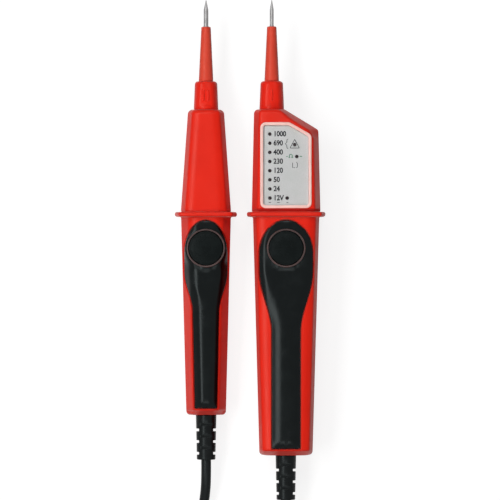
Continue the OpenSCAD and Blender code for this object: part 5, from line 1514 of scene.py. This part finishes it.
# %% Metals
def metal(name, light, dark, rough, scratch):
    """Metal: slow changes of tone, scratches as noise stretched across the pin, and roughness with both."""
    f = Finish(bpy.data.materials.new(name))
    lines = f.noise(2.0, 2.0, 0.7, f.stretch(0.4, scratch, 0.4))
    tone = f.range(f.noise(3.0, 3.0), 0.35, 0.65)
    return f.surface(
        Base_Color=f.blend(tone, dark, light), Metallic=1.0,
        Roughness=f.range(lines + tone * 0.5, 0.2, 1.2, rough - 0.05, rough + 0.1),
        Normal=f.bump(lines, 0.05, 0.01),
    )


materials |= {
    "pin_steel": metal("pin_steel", (0.29, 0.285, 0.287), (0.22, 0.215, 0.217), 0.5, 8.0),
    "steel": metal("steel", (0.55, 0.56, 0.58), (0.44, 0.45, 0.47), 0.32, 3.0),
    "weight_brass": metal("weight_brass", (0.46, 0.38, 0.24), (0.36, 0.29, 0.18), 0.42, 1.0),
    "copper": metal("copper", (0.72, 0.40, 0.24), (0.60, 0.30, 0.17), 0.30, 2.0),
    "cell_can": metal("cell_can", (0.23, 0.25, 0.29), (0.17, 0.19, 0.23), 0.36, 1.0),
}
print("finishes so far:", len(materials))

# %% [markdown]
# The rest is printed, painted, fired or dipped: the pale surround, the grey scale film with a faint mottle,
# dark tinted lamps, ink, green boards, cream plungers, white ceramic and a blue thermistor. Each could have
# a material of its own kind, but they differ only in numbers. So one function mixes two close tones and
# varies the roughness, and a table gives the numbers.

# %% Plain finishes with their own grain
FINER = 12


def coated(name, light, dark, rough, size, bump=0.1, **more):
    """A painted, printed or fired surface: two close tones, a small unevenness and its own roughness."""
    f = Finish(bpy.data.materials.new(name))
    tone, fine = f.range(f.noise(size, 4.0), 0.35, 0.65), f.noise(size / FINER, 2.0)
    return f.surface(
        Base_Color=f.blend(tone, dark, light), Roughness=f.range(fine, 0, 1, rough - 0.05, rough + 0.08),
        Normal=f.bump(fine, bump, 0.02), **more,
    )


dull, faint = {"Specular_IOR_Level": 0.05}, {"Specular_IOR_Level": 0.1}
low_gloss = {"Specular_IOR_Level": 0.2}
materials |= {
    "frame_pale": coated("frame_pale", (0.94, 0.59, 0.53), (0.89, 0.53, 0.47), 0.4, 5.0),
    "scale_grey": coated("scale_grey", (0.54, 0.54, 0.54), (0.50, 0.51, 0.50), 0.5, 7.0),
    "lamp_red": coated("lamp_red", (0.018, 0.004, 0.007), (0.010, 0.002, 0.004), 0.4, 1.0, **dull),
    # ring_grey: the bezel's pale brownish grey is a painted highlight, for the light that its rounded rim
    # catches.
    "ring_grey": coated("ring_grey", (0.10, 0.062, 0.058), (0.075, 0.046, 0.044), 0.4, 3.0, **low_gloss),
    "board_green": coated("board_green", (0.03, 0.20, 0.08), (0.02, 0.14, 0.06), 0.4, 2.0),
    "plunger_cream": coated("plunger_cream", (0.68, 0.62, 0.50), (0.60, 0.54, 0.43), 0.45, 2.0),
    "ceramic_white": coated("ceramic_white", (0.82, 0.79, 0.72), (0.74, 0.71, 0.64), 0.6, 3.0, 0.3),
    "thermistor_blue": coated("thermistor_blue", (0.06, 0.14, 0.42), (0.04, 0.10, 0.34), 0.35, 2.0),
    "print_black": coated("print_black", (0.008, 0.007, 0.012), (0.004, 0.004, 0.007), 0.7, 1.5, **faint),
    "print_green": coated("print_green", (0.06, 0.22, 0.12), (0.04, 0.16, 0.09), 0.6, 1.5),
}
print("finishes so far:", len(materials))

# %% [markdown]
# The window is clear polycarbonate over the scale. A glass shader would be the obvious choice, but it bends
# the light of the lamps away and leaves the plate dark below. So the pane is almost fully transparent by
# its alpha, and only a trace of its gloss is left, with faint smears from wiping.


# %% Clear window
def clear_pane():
    """Nearly transparent, with a gloss whose roughness changes in faint smears."""
    f = Finish(bpy.data.materials.new("window_clear"))
    smear = f.range(f.noise(7.0, 3.0), 0.3, 0.7, 0.05, 0.16)
    return f.surface(Base_Color=(0.9, 0.95, 0.95), Roughness=smear, Alpha=0.02, IOR=1.49)


materials["window_clear"] = clear_pane()
print("finishes:", sorted(materials))

# %% [markdown]
# The real tester is assembled from mouldings of a few materials, and some pieces move. Giving out materials
# by hand would let a piece be forgotten, so one function gives a piece its finish and its body and hides the
# CAD nodes that it stands for, and tables list who gets what. Last, every CAD node gets the finish of the
# slot that the record gives it, for the nodes that stay in the scene.


# %% Dress the pieces
def dress(piece, finish, *nodes, slot=None, body="tester"):
    """Gives a piece its material and its body, and hides the CAD nodes that it replaces."""
    piece.data.materials.clear()
    piece.data.materials.append(materials[finish])
    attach(piece, body)
    if nodes:
        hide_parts(*nodes)


for h in handles:
    for pieces, finish, node in (
        (fronts, "case_red", "front_shell"), (rears, "case_red", "rear_shell"),
        (inlays, "grip_black", "grip_inlay"), (case_screws, "steel", "case_screws"),
        (buttons, "button_black", "button"), (rings, "ring_grey", "button_ring"),
        (collars, "case_red", "nose_collar"), (sleeves, "sleeve_red", "pin_sleeve"),
        (pins, "pin_steel", "test_pin"), (reliefs, "relief_black", "strain_relief"),
    ):
        body = h.body if pieces is buttons else "tester"
        dress(pieces[h.name], finish, f"{h.name}_{node}", body=body)
for piece, finish, node in (
    (cover, "case_red", "display_battery_cover"), (cover_screw, "steel", "display_cover_screw"),
    (surround, "frame_pale", "display_window_frame"), (pane, "window_clear", "display_window"),
    (plate, "scale_grey", "display_scale_plate"), (lamps, "lamp_red", "display_lamps"),
    (tie, "tie_black", "lead_tie"),
):
    dress(piece, finish, node)
for piece, ink in ((scale_figures, "print_black"), (signs, "print_black"), (ohm, "print_green")):
    dress(piece, ink, slot="scale_grey")
dress(lead, "lead_black")

slots = {s["node"]: s["material_slot"] for s in frame["record"]["subparts"]}
for name, node in frame["nodes"].items():
    node.data.materials.clear()
    node.data.materials.append(materials[slots[name]])
print("materials:", len(materials))

# %% [markdown]
# The table is plain and pale. In the photograph it is white, with the tester's soft shadow on it. A white
# table under strong light would do that, but it would also throw too much light back onto the undersides.
# So the table has three tones, for the camera, for reflections and for the light that it throws back, and a
# glow that only the camera and reflections see. The world gives an even fill, and shows white to the
# camera, in reflections and to rays through glass.

# %% Table and world
FILL, TABLE_TONE, TABLE_BOUNCE, TABLE_MIRRORED = 0.10, 0.24, 0.22, 0.8
GLOW, GLOW_MIRRORED, TABLE_HALF = 0.83, 0.15, 4000.0
scene = bpy.context.scene
scene.view_settings.view_transform = "Standard"


def rays(finish, *kinds):
    """For each kind of ray a signal that is 1 where such a ray looks, and 0 elsewhere."""
    return [finish.node("ShaderNodeLightPath", output=f"Is {kind} Ray") for kind in kinds]


scene.world = bpy.data.worlds.new("studio")
studio = Finish(scene.world, "ShaderNodeOutputWorld")
camera_ray, glossy_ray, clear_ray = rays(studio, "Camera", "Glossy", "Transmission")
seen = studio.range(camera_ray + glossy_ray + clear_ray, 0.0, 1.0, FILL, 1.0)
studio.close(studio.node("ShaderNodeBackground", {}, {"Color": (1, 1, 1, 1), "Strength": seen}))

cloth = Finish(bpy.data.materials.new("table"))
camera_ray, glossy_ray = rays(cloth, "Camera", "Glossy")
tone = cloth.blend(camera_ray, (TABLE_BOUNCE,) * 3, (TABLE_TONE,) * 3)
tone = cloth.blend(glossy_ray, tone, (TABLE_MIRRORED,) * 3)
matte = cloth.node("ShaderNodeBsdfDiffuse", {}, {"Color": tone})
glow = camera_ray * GLOW + glossy_ray * GLOW_MIRRORED
glow = cloth.node("ShaderNodeEmission", {}, {"Strength": glow})
cloth.close(cloth.node("ShaderNodeAddShader", {}, {0: matte, 1: glow}))
corners = np.array([[-1, -1, 0], [1, -1, 0], [1, 1, 0], [-1, 1, 0]]) * TABLE_HALF
table = solid("table", corners, [[0, 1, 2, 3]])
table.data.materials.append(cloth.material)
print("fill", FILL, "table", TABLE_TONE)

# %% [markdown]
# The photograph has light on every face that looks up and little on the sides, with one long bright band on
# the left of each round piece. One lamp straight above would be simpler, but it would lie as a grey veil on
# the black grips. So two soft lamps stand high at the head and the tail end, and a narrow long one at the
# left draws the band.


# %% Lamps of the studio
def soft_lamp(name, place, along, across, power):
    """A rectangular lamp that faces the tester: along and across are its sides in metres, power in watts."""
    data = bpy.data.lights.new(name, "AREA")
    data.shape, data.size, data.size_y, data.energy = "RECTANGLE", along, across, power
    lamp = bpy.data.objects.new(name, data)
    lamp.location = place
    lamp.rotation_euler = (-lamp.location).to_track_quat("-Z", "Y").to_euler()
    bpy.context.collection.objects.link(lamp)


soft_lamp("left_band", (-0.72, 0.05, 1.25), 1.7, 0.42, 14.5)
soft_lamp("head_softbox", (0.0, 0.85, 1.4), 0.9, 0.5, 6.0)
soft_lamp("tail_softbox", (0.0, -0.85, 1.4), 0.9, 0.5, 4.5)
